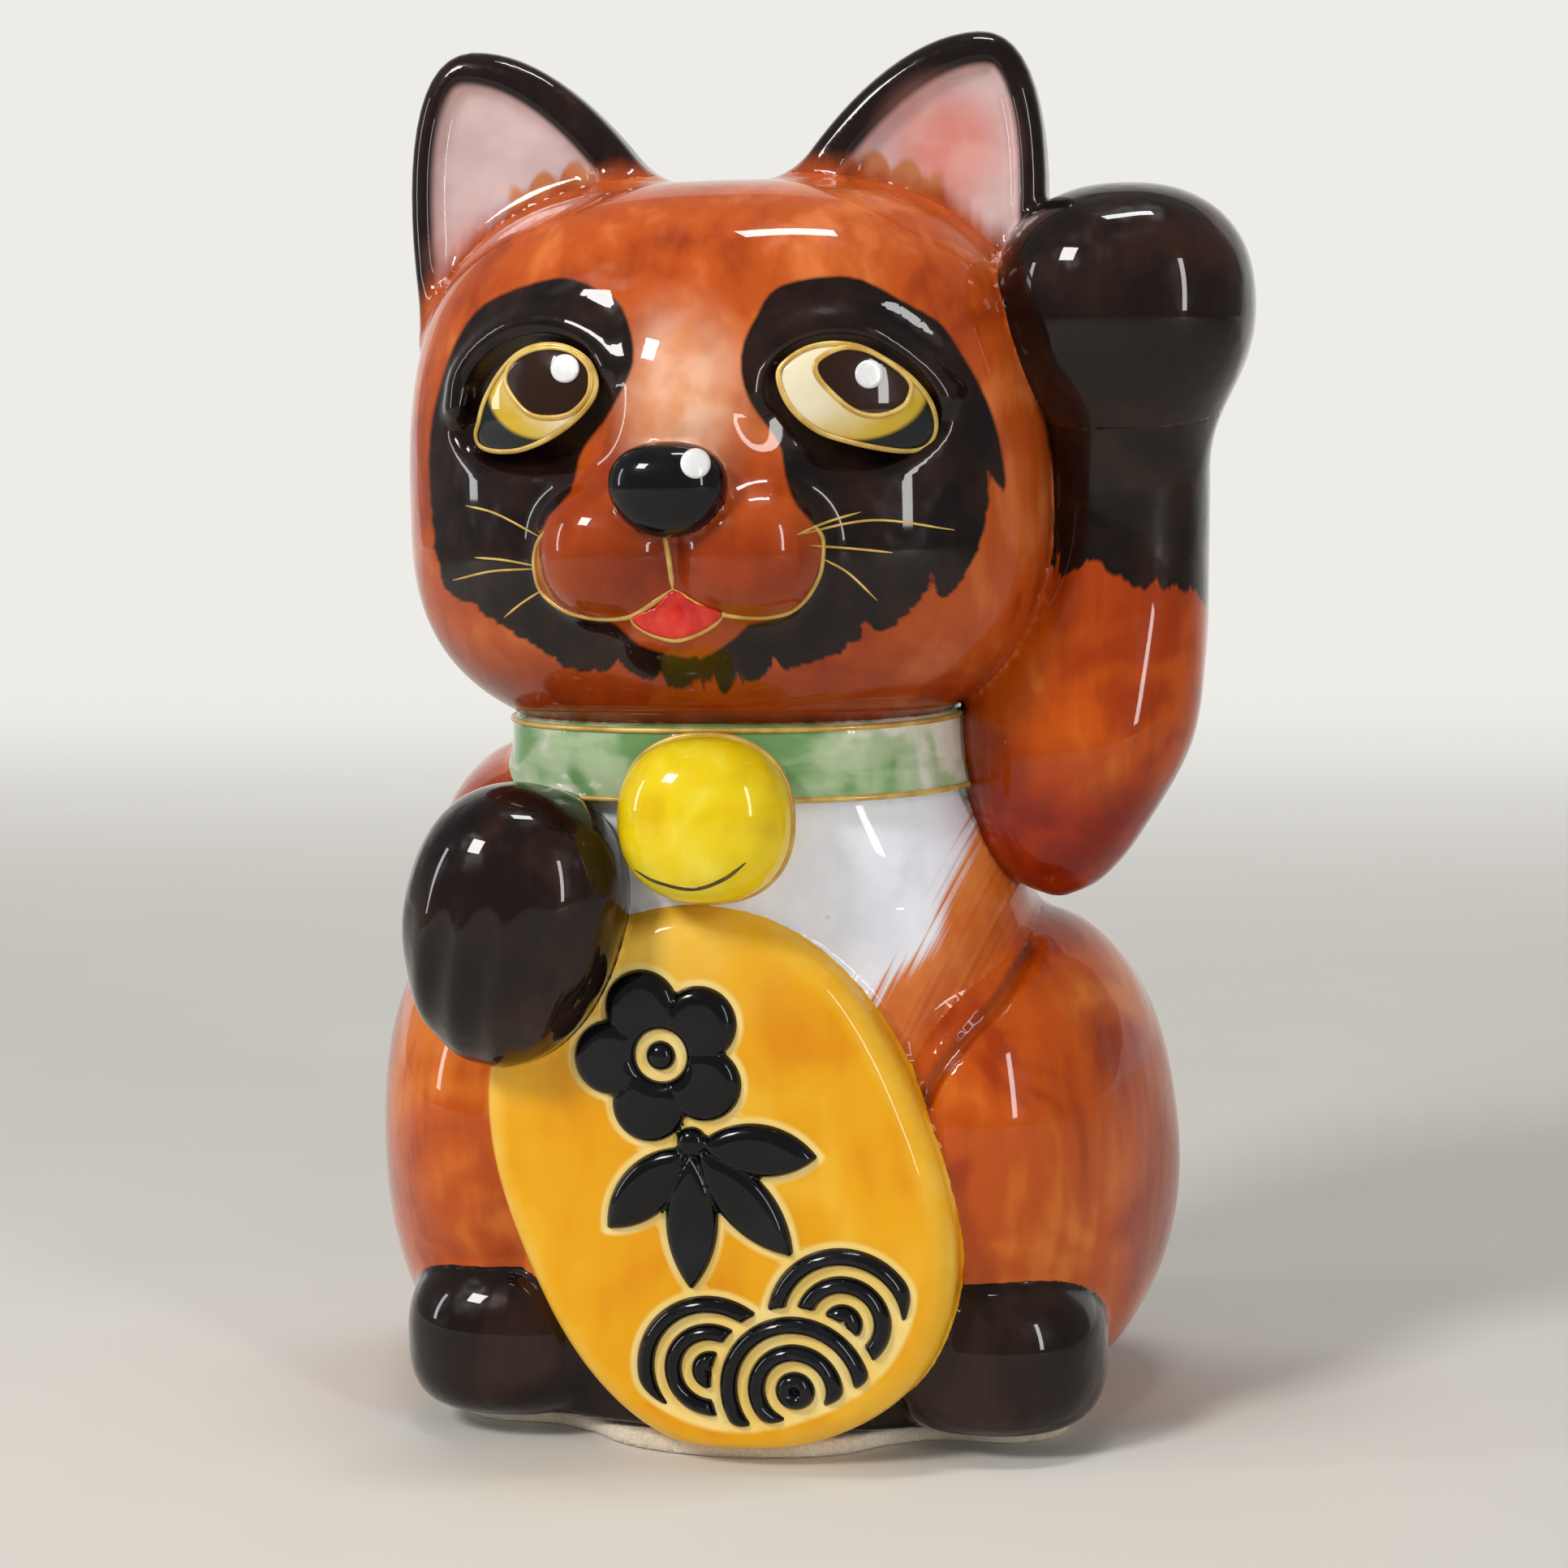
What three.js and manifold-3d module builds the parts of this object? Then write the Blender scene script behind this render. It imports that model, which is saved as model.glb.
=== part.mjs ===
// A glazed ceramic lucky figure in the beckoning pose, made as a coin bank.
// Hollow castings and press-moulded lumps are luted together with slip.
// A rubber stopper closes the base.
// Millimetres, +Z up, the figure looks along -Y. Left and right are the figure's own: its left is +X.
import * as THREE from "three";
import { mergeVertices } from "three/addons/utils/BufferGeometryUtils.js";
import Module from "manifold-3d";

const wasm = await Module();
wasm.setup();

// Values shared by several pieces
const joint = 0.3; // slip joint between two castings
const wall = 5; // wall of the hollow castings
const bow = 2.3; // exponent of the rounded sections: 2 is an ellipse, more is squarer

// Facets round and up each kind of form
const facets = {
  skull: { around: 34, rows: 17 },
  skullHollow: { around: 20, rows: 9 },
  torso: { around: 32, rows: 12 },
  torsoHollow: { around: 22, rows: 8 },
  arm: { around: 18, rows: 13 },
  haunch: { around: 20, rows: 11 },
  paw: { around: 20, rows: 10 },
  lump: { around: 18, rows: 9 },
  knob: { around: 14, rows: 9 },
  groove: { around: 8, rows: 6 },
};
const barFacets = 32;
const kobanFacets = 40;
const rimFacets = 14;
const earFacets = 9;
const slotFacets = 6;
const edgeFacets = 2;
const halvings = 30; // steps of the search for the section at a height

// Base plate: an unglazed foot rim that follows what stands on it
const plateThick = 2.4;
const plateInset = 1.5;
const footRim = { halfWidth: 9, halfDepth: 7, behind: 3.5 };
const haunchRim = { inset: 0.5, halfDepth: 15 }; // its outer side is in from the seat's
const kobanRim = { halfWidth: 17, halfDepth: 7, behind: 12.5 };

// Stopper and its hole
const holeRadius = 15.5;
const bossWall = 5;
const bossHeight = 9;
const stopperBack = 1; // behind the middle of the torso's foot
const stopperPlay = 0.3;
const flangeWidth = 3;
const flangeThick = 1.8;
const flangeLift = 0.5; // the flange stays this far off the table
const stopperTaper = 0.8;
const stopperRise = 2; // the plug's nose stands this far above the boss
const gripRadius = 6;
const gripDepth = 3;

// Torso: rounded sections at heights above the plate, from the seat to the neck
const ground = { up: 0, y: 5, halfWidth: 39, halfDepth: 29 };
const seat = { up: 20, y: 6, halfWidth: 43, halfDepth: 32.5 };
const waist = { up: 42, y: 5, halfWidth: 42, halfDepth: 32 };
const ribs = { up: 60, y: 2.5, halfWidth: 39.5, halfDepth: 29.5 };
const shoulders = { up: 74, y: -2, halfWidth: 34.5, halfDepth: 26 };
const throat = { up: 86, y: -7, halfWidth: 28, halfDepth: 21.5 };
const nape = { y: -8, halfWidth: 27, halfDepth: 21 };
const slotLength = 34;
const slotHeight = 5;
const slotUp = 67;

// Hind legs and tail
const haunch = { halfWidth: 20, halfDepth: 28, halfHeight: 33, lean: 20, toeIn: 16 };
const haunchSeat = { up: 33, sink: 9, ahead: 1.5 };
const foot = { halfWidth: 14.6, halfDepth: 14, rise: 12.5, drop: 10.6 };
const footSeat = { spread: 32.2, shift: 1, ahead: 17.5, up: 10.3 };
const tail = { up: 17, sink: 5, halfWidth: 11, halfDepth: 11, halfHeight: 17, lean: 16 };

// Gold coin plate that stands against the belly
const koban = { x: 0.4, up: 34.3, halfWidth: 27.7, halfLength: 35.6, proud: 4.5, thick: 13, tilt: 21.4 };
const kobanBow = 2.43;
const kobanEdge = 3; // rounded rim

// Collar and bell
const collarDrop = 3; // the collar's lower edge under the throat's section
const collarHeight = 10;
const collarThick = 2.3;
const bell = { x: 1, hang: 1.4, sink: 2, halfWidth: 10.9, halfDepth: 8, halfHeight: 10.4 };
const bellSlit = { width: 1.1, span: 14, fall: 5.2, depth: 1.6 };

// Head: one hollow egg, squarer over the crown and under the jowls, sunk into the collar
const skull = { y: -9, sink: 4.4, halfWidth: 41.8, front: 30, back: 32, rise: 43, drop: 29 };
const crownBow = 3;
const jowlBow = 2.6;
const neckHole = 17;

// Face: what is pressed on to the front of the skull or set into it, at heights over the skull's middle
const muzzlePad = { x: 8.4, over: -2.4, sink: 3.2, halfWidth: 9.6, halfDepth: 9.4, halfHeight: 8.8 };
const bridge = { x: 0, over: 10.9, sink: 6, halfWidth: 9, halfDepth: 8.2, halfHeight: 15 };
const jaw = { x: 0, over: -11.2, sink: 4, halfWidth: 7.6, halfDepth: 7, halfHeight: 4.8 };
const nose = { halfWidth: 7.2, halfDepth: 4.8, rise: 5.1, drop: 6.4, lowBow: 1.7 };
const noseSeat = { over: 5.7, proud: 4.6 };
const eye = { halfWidth: 10.2, halfDepth: 5.4, halfHeight: 6.8, turn: 26 };
const eyeSeat = { x: 19.8, shift: 0.8, over: 15.6, sink: 4.6 };
const socket = { margin: 2.4, lift: 1.6, depth: 3.2 };

// Ears: two curves from the outer root over the tip to the inner root on the crown, dished in front
const ear = { rootInset: 1.8, rootIn: 9, tipInset: 8.8, rootDrop: 20, tipRise: 17.5 };
const earSwell = { outer: 2.5, outerDrop: 20, tip: 9, inner: 6, innerRise: 9 };
const earThick = 8.5;
const earEdge = 2.6;
const earRim = 4;
const earDish = 2.4;
const earDishOut = 1; // the dish lies this far to the ear's outer side

// Raised left arm: rounded sections from the elbow to the wrist, and its paw
// Heights are over the collar, and each section's middle is out from the side of the skull
const elbowTip = { over: -14.6, out: -0.3, y: -6.5, halfWidth: 2, halfDepth: 2 };
const elbowEnd = { over: -11.5, out: -0.2, y: -6.2, halfWidth: 6.4, halfDepth: 7 };
const elbow = { over: -6, out: 0.2, y: -5.6, halfWidth: 10.4, halfDepth: 11 };
const upperArm = { over: 5, out: 2.1, y: -4.6, halfWidth: 14.6, halfDepth: 13.4 };
const armBend = { over: 17, out: 3.8, y: -4, halfWidth: 14.8, halfDepth: 12.4 };
const lowForearm = { over: 29, out: 8.2, y: -4, halfWidth: 10.8, halfDepth: 11 };
const forearm = { over: 43, out: 9.2, y: -5, halfWidth: 10, halfDepth: 10.5 };
const wrist = { over: 55, out: 9.2, y: -7, halfWidth: 9, halfDepth: 9.5 };
const raisedPaw = { ahead: 3, lift: 6, halfWidth: 16.2, halfDepth: 14.5, halfHeight: 14.8 };

// Lowered right arm and its paw over the coin plate's upper corner
const loweredArm = { halfWidth: 12, halfDepth: 20, halfHeight: 12.5, lean: 12 };
const loweredArmSeat = { x: -27.5, under: 7.5, ahead: 5 };
const loweredPaw = { halfWidth: 13.8, halfDepth: 12.5, rise: 16.4, drop: 20, lowBow: 2 };
const loweredPawSeat = { x: -24, above: 35.2, proud: 0.5, tilt: 13 };

// Grooves between the toes, cut from the front of the lowered paw
const toeSteps = [-1, 0, 1];
const toePitch = 5.6;
const toeDrop = 8; // middle of the grooves under the paw's middle
const toeGroove = { halfWidth: 1, halfDepth: 2, halfHeight: 7 };

// The figure's right and left
const sides = [-1, 1];

// Finishes: base colour, roughness and metalness of each glaze
const finishes = {
  brownGlaze: { color: 0xa8441c, roughness: 0.1, metalness: 0 },
  blackGlaze: { color: 0x1d1512, roughness: 0.08, metalness: 0 },
  goldGlaze: { color: 0xe9a818, roughness: 0.12, metalness: 0 },
  yellowGlaze: { color: 0xe6cf14, roughness: 0.08, metalness: 0 },
  greenGlaze: { color: 0x9db49a, roughness: 0.12, metalness: 0 },
  bisque: { color: 0xe8dfd0, roughness: 0.7, metalness: 0 },
  rubber: { color: 0x3a3a3c, roughness: 0.8, metalness: 0 },
};
const material = Object.fromEntries(
  Object.entries(finishes).map(([name, look]) => [name, new THREE.MeshStandardMaterial(look)]),
);

// Solids from geometry, and back

function solidOf(geometry) {
  const bare = geometry.clone();
  bare.deleteAttribute("normal");
  bare.deleteAttribute("uv");
  const merged = mergeVertices(bare, 1e-4);
  const vertProperties = merged.attributes.position.array;
  const triVerts = new Uint32Array(merged.index.array);
  return new wasm.Manifold(new wasm.Mesh({ numProp: 3, vertProperties, triVerts }));
}

function geometryOf(solid) {
  const mesh = solid.getMesh();
  const geometry = new THREE.BufferGeometry();
  geometry.setAttribute("position", new THREE.BufferAttribute(mesh.vertProperties, 3));
  geometry.setIndex(new THREE.BufferAttribute(mesh.triVerts, 1));
  geometry.computeVertexNormals();
  return geometry;
}

function placed(geometry, position, rotation = new THREE.Euler()) {
  const matrix = new THREE.Matrix4().makeRotationFromEuler(rotation);
  matrix.setPosition(position);
  return solidOf(geometry.applyMatrix4(matrix));
}

const union = (solids) => solids.reduce((sum, solid) => sum.add(solid));
const cut = (solid, ...tools) => tools.reduce((rest, tool) => rest.subtract(tool), solid);
const biggest = (solid) => solid.decompose().reduce((a, b) => (a.volume() > b.volume() ? a : b));
const degrees = THREE.MathUtils.degToRad;
const signedPower = (value, exponent) => Math.sign(value) * Math.abs(value) ** exponent;
const remainder = (share, exponent) => Math.max(0, 1 - Math.abs(share) ** exponent) ** (1 / exponent);
const at = (x, y, up) => new THREE.Vector3(x, y, plateThick + up);

// Shape makers

// A closed skin over rings of equal length, from the lowest to the highest, with a point at each end.
function skin(rings, low, high) {
  const around = rings[0].length;
  const points = [...rings.flat(), low, high];
  const lowIndex = points.length - 2;
  const highIndex = points.length - 1;
  const index = [];
  for (let column = 0; column < around; column++) {
    const next = (column + 1) % around;
    index.push(lowIndex, next, column);
    for (let row = 0; row + 1 < rings.length; row++) {
      const here = row * around;
      const above = here + around;
      index.push(here + column, here + next, above + next);
      index.push(here + column, above + next, above + column);
    }
    const top = (rings.length - 1) * around;
    index.push(top + column, top + next, highIndex);
  }
  const geometry = new THREE.BufferGeometry().setFromPoints(points);
  geometry.setIndex(index);
  return geometry;
}

// One rounded section: a superellipse round a centre.
function section(centre, halfWidth, halfDepth, exponent, around) {
  const ring = [];
  for (let column = 0; column < around; column++) {
    const angle = (2 * Math.PI * column) / around;
    const x = halfWidth * signedPower(Math.cos(angle), 2 / exponent);
    const y = halfDepth * signedPower(Math.sin(angle), 2 / exponent);
    ring.push(new THREE.Vector3(x, y, 0).add(centre));
  }
  return ring;
}

// An egg whose front and back, and top and bottom, may differ in reach and in squareness.
function egg({ halfWidth, front, back, rise, drop, topBow = bow, lowBow = bow }, { around, rows }) {
  const rings = [];
  for (let row = 1; row <= rows; row++) {
    const angle = -Math.PI / 2 + (Math.PI * row) / (rows + 1);
    const exponent = angle > 0 ? topBow : lowBow;
    const spread = Math.cos(angle) ** (2 / exponent);
    const z = (angle > 0 ? rise : drop) * signedPower(Math.sin(angle), 2 / exponent);
    const ring = section(new THREE.Vector3(0, 0, z), halfWidth * spread, spread, bow, around);
    ring.forEach((point) => (point.y *= point.y < 0 ? front : back));
    rings.push(ring);
  }
  return skin(rings, new THREE.Vector3(0, 0, -drop), new THREE.Vector3(0, 0, rise));
}

// An egg whose front and back are the same, grown by an offset.
function ball(shape, grow, detail) {
  const depth = shape.halfDepth + grow;
  const rise = (shape.rise ?? shape.halfHeight) + grow;
  const drop = (shape.drop ?? shape.halfHeight) + grow;
  const halfWidth = shape.halfWidth + grow;
  return egg({ halfWidth, front: depth, back: depth, rise, drop, lowBow: shape.lowBow }, detail);
}

// One value of a table of sections, on a smooth curve from share 0, its first row, to 1, its last.
function along(rows, key, share) {
  const points = rows.map((row, i) => new THREE.Vector3(i, row[key] ?? 0, 0));
  return new THREE.CatmullRomCurve3(points).getPoint(share).y;
}

// The section of a table at a height, found by halving.
function sectionAt(rows, up) {
  let low = 0;
  let high = 1;
  for (let turn = 0; turn < halvings; turn++) {
    const middle = (low + high) / 2;
    if (along(rows, "up", middle) < up) low = middle;
    else high = middle;
  }
  const read = (key) => along(rows, key, low);
  return { y: read("y"), halfWidth: read("halfWidth"), halfDepth: read("halfDepth") };
}

// A loft through a table of sections, grown by an offset.
function loft(table, grow, { around, rows }) {
  const rings = [];
  const centres = [];
  for (let row = 0; row <= rows; row++) {
    const read = (key) => along(table, key, row / rows);
    const centre = at(read("x"), read("y"), read("up"));
    centres.push(centre);
    rings.push(section(centre, read("halfWidth") + grow, read("halfDepth") + grow, bow, around));
  }
  return skin(rings, centres[0], centres[rows]);
}

// An upright round bar between two heights over the table.
function bar(radius, from, to, y = 0, topRadius = radius) {
  const geometry = new THREE.CylinderGeometry(topRadius, radius, to - from, barFacets);
  const upright = new THREE.Euler(Math.PI / 2, 0, 0);
  return placed(geometry, new THREE.Vector3(0, y, (from + to) / 2), upright);
}

// An oval pushed up from the table.
function ovalSlab(x, y, { halfWidth, halfDepth }, thick) {
  const outline = new THREE.Shape().absellipse(x, y, halfWidth, halfDepth, 0, 2 * Math.PI);
  const options = { depth: thick, bevelEnabled: false, curveSegments: rimFacets };
  return solidOf(new THREE.ExtrudeGeometry(outline, options));
}

// A flat outline with a rounded edge, its middle plane standing upright and its face towards -Y.
function plaque(outline, thick, edge, grow, segments) {
  const geometry = new THREE.ExtrudeGeometry(outline, {
    depth: thick - 2 * edge,
    bevelThickness: edge + grow,
    bevelSize: edge + grow,
    bevelSegments: edgeFacets,
    curveSegments: segments,
  });
  geometry.translate(0, 0, edge - thick / 2);
  return geometry.rotateX(Math.PI / 2);
}

// Places that follow from the castings they belong to

const clearOfAll = 4 * ground.halfWidth; // reach of a cutting tool that passes everything
const collarUp = throat.up - collarDrop;
const skullUp = collarUp + collarHeight - skull.sink + skull.drop;
const crownUp = skullUp + skull.rise;
const neckEnd = { ...nape, up: skullUp - skull.drop / 2 };
const torsoSections = [ground, seat, waist, ribs, shoulders, throat, neckEnd];

const belly = sectionAt(torsoSections, koban.up);
const kobanY = belly.y - belly.halfDepth - koban.proud + koban.thick / 2;
const kobanFront = kobanY - koban.thick / 2;
const hips = sectionAt(torsoSections, haunchSeat.up);
const haunchX = hips.halfWidth - haunchSeat.sink;
const haunchY = hips.y - haunchSeat.ahead;
const footX = (side) => side * footSeat.spread + footSeat.shift;
const footY = hips.y - footSeat.ahead;
const stopperY = ground.y + stopperBack;
const neck = sectionAt(torsoSections, collarUp + collarHeight / 2);
const bellUp = collarUp - bell.hang;
const bellY = neck.y - neck.halfDepth - collarThick - bell.halfDepth / 2 + bell.sink;
const rump = sectionAt(torsoSections, tail.up);
const tailY = rump.y + rump.halfDepth + tail.halfDepth / 2 - tail.sink;
const armRows = [elbowTip, elbowEnd, elbow, upperArm, armBend, lowForearm, forearm, wrist];
const armSections = armRows.map((row) => ({ ...row, x: skull.halfWidth + row.out, up: collarUp + row.over }));
const hand = armSections.at(-1);
const loweredArmUp = collarUp - loweredArmSeat.under;
const shoulder = sectionAt(torsoSections, loweredArmUp);

// How far forward the skull's skin is at a place on the face.
function skullFront(x, up) {
  const rise = up - skullUp;
  const above = remainder(rise / skull.rise, crownBow);
  const below = remainder(rise / skull.drop, jowlBow);
  const spread = rise > 0 ? above : below;
  return skull.y - skull.front * spread * remainder(x / (skull.halfWidth * spread), bow);
}

// Forms of the castings before they are cut to meet, each grown by an offset where a neighbour needs room

const torsoForm = (grow = 0) => solidOf(loft(torsoSections, grow, facets.torso));
const armForm = (grow = 0) => solidOf(loft(armSections, grow, facets.arm));

function skullForm(grow = 0, detail = facets.skull) {
  const shape = {
    halfWidth: skull.halfWidth + grow,
    front: skull.front + grow,
    back: skull.back + grow,
    rise: skull.rise + grow,
    drop: skull.drop + grow,
    topBow: crownBow,
    lowBow: jowlBow,
  };
  return placed(egg(shape, detail), at(0, skull.y, skullUp));
}

function haunchForm(side, grow = 0) {
  const turn = new THREE.Euler(degrees(haunch.lean), 0, side * -degrees(haunch.toeIn), "ZXY");
  return placed(ball(haunch, grow, facets.haunch), at(side * haunchX, haunchY, haunchSeat.up), turn);
}

const footForm = (side) => placed(ball(foot, 0, facets.lump), at(footX(side), footY, footSeat.up));

// The coin plate leans in its own plane, its top towards the lowered paw.
function kobanForm(grow = 0) {
  const halfWidth = koban.halfWidth - kobanEdge;
  const halfLength = koban.halfLength - kobanEdge;
  const ring = section(new THREE.Vector3(), halfWidth, halfLength, kobanBow, kobanFacets);
  const outline = new THREE.Shape(ring.map((point) => new THREE.Vector2(point.x, point.y)));
  const geometry = plaque(outline, koban.thick, kobanEdge, grow, 1);
  return placed(geometry, at(koban.x, kobanY, koban.up), new THREE.Euler(0, -degrees(koban.tilt), 0));
}

// The ear's outline in the plane of the face, heights above the plate.
function earOutline(side, inset) {
  const out = side * (skull.halfWidth - ear.rootInset - inset);
  const inner = side * (ear.rootIn + inset);
  const tip = side * (skull.halfWidth - ear.tipInset);
  const top = crownUp + ear.tipRise - inset;
  const root = crownUp - ear.rootDrop;
  const flank = out + side * earSwell.outer;
  const past = tip - side * earSwell.tip;
  const fall = inner + side * earSwell.inner;
  const fallUp = crownUp + earSwell.innerRise - inset;
  const outline = new THREE.Shape();
  outline.moveTo(out, root);
  outline.bezierCurveTo(flank, top - earSwell.outerDrop, flank, top, tip, top);
  outline.bezierCurveTo(past, top, fall, fallUp, inner, crownUp);
  outline.lineTo(inner, root);
  return outline;
}

const earForm = (side, grow = 0) =>
  placed(plaque(earOutline(side, earEdge), earThick, earEdge, grow, earFacets), at(0, skull.y, 0));

function earHollow(side) {
  const tool = plaque(earOutline(side, earRim + earDish), earThick, earDish, 0, earFacets);
  return placed(tool, at(side * earDishOut, skull.y - earThick + earDish, 0));
}

// An eye's dome and the bowl that it sits in share a middle on the skull's skin.
function faceBall(side, shape, grow, back, lift = 0) {
  const up = skullUp + eyeSeat.over;
  const y = skullFront(eyeSeat.x, up) + back;
  const place = at(side * eyeSeat.x + eyeSeat.shift, y, up + lift);
  return placed(ball(shape, grow, facets.lump), place, new THREE.Euler(0, 0, side * degrees(eye.turn)));
}

function socketForm(side, grow = 0) {
  const halfWidth = eye.halfWidth + socket.margin;
  const halfHeight = eye.halfHeight + socket.margin;
  return faceBall(side, { halfWidth, halfDepth: socket.depth, halfHeight }, grow, 0, socket.lift);
}

function muzzleForm(grow = 0) {
  const lump = (shape, side, detail) => {
    const up = skullUp + shape.over;
    const y = skullFront(shape.x, up) + shape.sink;
    return placed(ball(shape, grow, detail), at(side * shape.x, y, up));
  };
  const pads = sides.map((side) => lump(muzzlePad, side, facets.lump));
  return union([...pads, lump(bridge, 1, facets.knob), lump(jaw, 1, facets.knob)]);
}

const bellForm = (grow = 0) => placed(ball(bell, grow, facets.paw), at(bell.x, bellY, bellUp));

function noseForm() {
  const up = skullUp + noseSeat.over;
  const y = skullFront(0, up) - noseSeat.proud;
  return placed(ball(nose, 0, facets.knob), at(0, y, up));
}

function raisedPawForm() {
  const place = at(hand.x, hand.y - raisedPaw.ahead, hand.up + raisedPaw.lift);
  return placed(ball(raisedPaw, 0, facets.paw), place);
}

function loweredArmForm(grow = 0) {
  const turn = new THREE.Euler(degrees(loweredArm.lean), 0, 0);
  const place = at(loweredArmSeat.x, shoulder.y - loweredArmSeat.ahead, loweredArmUp);
  return placed(ball(loweredArm, grow, facets.lump), place, turn);
}

// The collar is a strap round the neck between two heights.
function collarForm(grow = 0) {
  const low = plateThick + collarUp - grow;
  const high = low + collarHeight + 2 * grow;
  return torsoForm(collarThick + grow).intersect(bar(clearOfAll, low, high));
}

// Castings, cut where they meet

const body = torsoForm(joint);
const head = skullForm(joint);
const coin = kobanForm(joint);
const strap = collarForm(joint);
const visage = muzzleForm(joint);
const rightThigh = haunchForm(-1, joint);
const leftThigh = haunchForm(1, joint);
const leftEar = earForm(1, joint);
const table = bar(clearOfAll, -clearOfAll, plateThick + joint);

function basePlate() {
  const rim = { halfWidth: ground.halfWidth - plateInset, halfDepth: ground.halfDepth - plateInset };
  const rims = [
    ovalSlab(0, ground.y, rim, plateThick),
    ovalSlab(koban.x, kobanFront + kobanRim.behind, kobanRim, plateThick),
  ];
  const flank = { halfWidth: seat.halfWidth - haunchRim.inset - haunchX, halfDepth: haunchRim.halfDepth };
  for (const side of sides) {
    rims.push(ovalSlab(footX(side), footY + footRim.behind, footRim, plateThick));
    rims.push(ovalSlab(side * haunchX, haunchY, flank, plateThick));
  }
  const boss = bar(holeRadius + bossWall, 0, bossHeight, stopperY);
  const hole = bar(holeRadius, -bossHeight, 2 * bossHeight, stopperY);
  const recessRadius = holeRadius + flangeWidth + stopperPlay;
  const recess = bar(recessRadius, -bossHeight, flangeLift + flangeThick + joint, stopperY);
  return cut(union([...rims, boss]), hole, recess);
}

function stopper() {
  const plug = holeRadius - stopperPlay;
  const flange = bar(holeRadius + flangeWidth, flangeLift, flangeLift + flangeThick, stopperY);
  const shank = bar(plug, flangeLift, bossHeight + stopperRise, stopperY, plug - stopperTaper);
  const grip = bar(gripRadius, -gripDepth, flangeLift + gripDepth, stopperY);
  return cut(flange.add(shank), grip);
}

function torsoShell() {
  const inside = torsoSections.map((row) => ({ ...row }));
  inside[0].up -= wall;
  inside.at(-1).up += wall;
  const hollow = solidOf(loft(inside, -wall, facets.torsoHollow));
  const run = (slotLength - slotHeight) / 2;
  const outline = new THREE.Shape();
  outline.absarc(run, 0, slotHeight / 2, -Math.PI / 2, Math.PI / 2);
  outline.absarc(-run, 0, slotHeight / 2, Math.PI / 2, (3 * Math.PI) / 2);
  const reach = 2 * belly.halfDepth;
  const options = { depth: reach, bevelEnabled: false, curveSegments: slotFacets };
  const towardsBack = new THREE.Euler(Math.PI / 2, 0, 0);
  const slot = placed(new THREE.ExtrudeGeometry(outline, options), at(0, reach, slotUp), towardsBack);
  return biggest(cut(torsoForm(), hollow, slot, table, head));
}

function headShell() {
  const middleUp = plateThick + skullUp;
  const neckBore = bar(neckHole, middleUp - 2 * skull.drop, middleUp, skull.y);
  const hollow = skullForm(-wall, facets.skullHollow);
  return biggest(cut(skullForm(), hollow, neckBore, socketForm(-1), socketForm(1)));
}

function bellCasting() {
  const slit = new THREE.BoxGeometry(bellSlit.span, 2 * bellSlit.depth, bellSlit.width);
  const place = at(bell.x, bellY - bell.halfDepth, bellUp - bellSlit.fall);
  return biggest(cut(bellForm(), body, strap, head, coin, placed(slit, place)));
}

function loweredPawCasting() {
  const y = kobanFront - loweredPawSeat.proud;
  const centre = at(loweredPawSeat.x, y, koban.up + loweredPawSeat.above);
  const turn = new THREE.Euler(0, degrees(loweredPawSeat.tilt), 0);
  const grooves = toeSteps.map((step) => {
    const spot = new THREE.Vector3(step * toePitch, -loweredPaw.halfDepth, -toeDrop).applyEuler(turn);
    return placed(ball(toeGroove, 0, facets.groove), spot.add(centre), turn);
  });
  const mitten = cut(placed(ball(loweredPaw, 0, facets.paw), centre, turn), ...grooves);
  const neighbours = [coin, body, strap, head, bellForm(joint), loweredArmForm(joint), rightThigh];
  return biggest(cut(mitten, ...neighbours));
}

function leg(side) {
  const name = side > 0 ? "left" : "right";
  const thigh = biggest(cut(haunchForm(side), body, coin, table));
  const sole = biggest(cut(footForm(side), body, coin, table, haunchForm(side, joint)));
  return {
    [`${name}_haunch`]: [thigh, material.brownGlaze],
    [`${name}_foot`]: [sole, material.blackGlaze],
  };
}

function eyeAndEar(side) {
  const name = side > 0 ? "left" : "right";
  const dome = faceBall(side, eye, 0, eyeSeat.sink).intersect(socketForm(side, -joint));
  const shell = biggest(cut(earForm(side), earHollow(side), head));
  return {
    [`${name}_eye`]: [biggest(cut(dome, visage)), material.goldGlaze],
    [`${name}_ear`]: [shell, material.blackGlaze],
  };
}

function tailCasting() {
  const turn = new THREE.Euler(degrees(tail.lean), 0, 0);
  const form = placed(ball(tail, 0, facets.lump), at(0, tailY, tail.up), turn);
  return biggest(cut(form, body, table));
}

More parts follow.
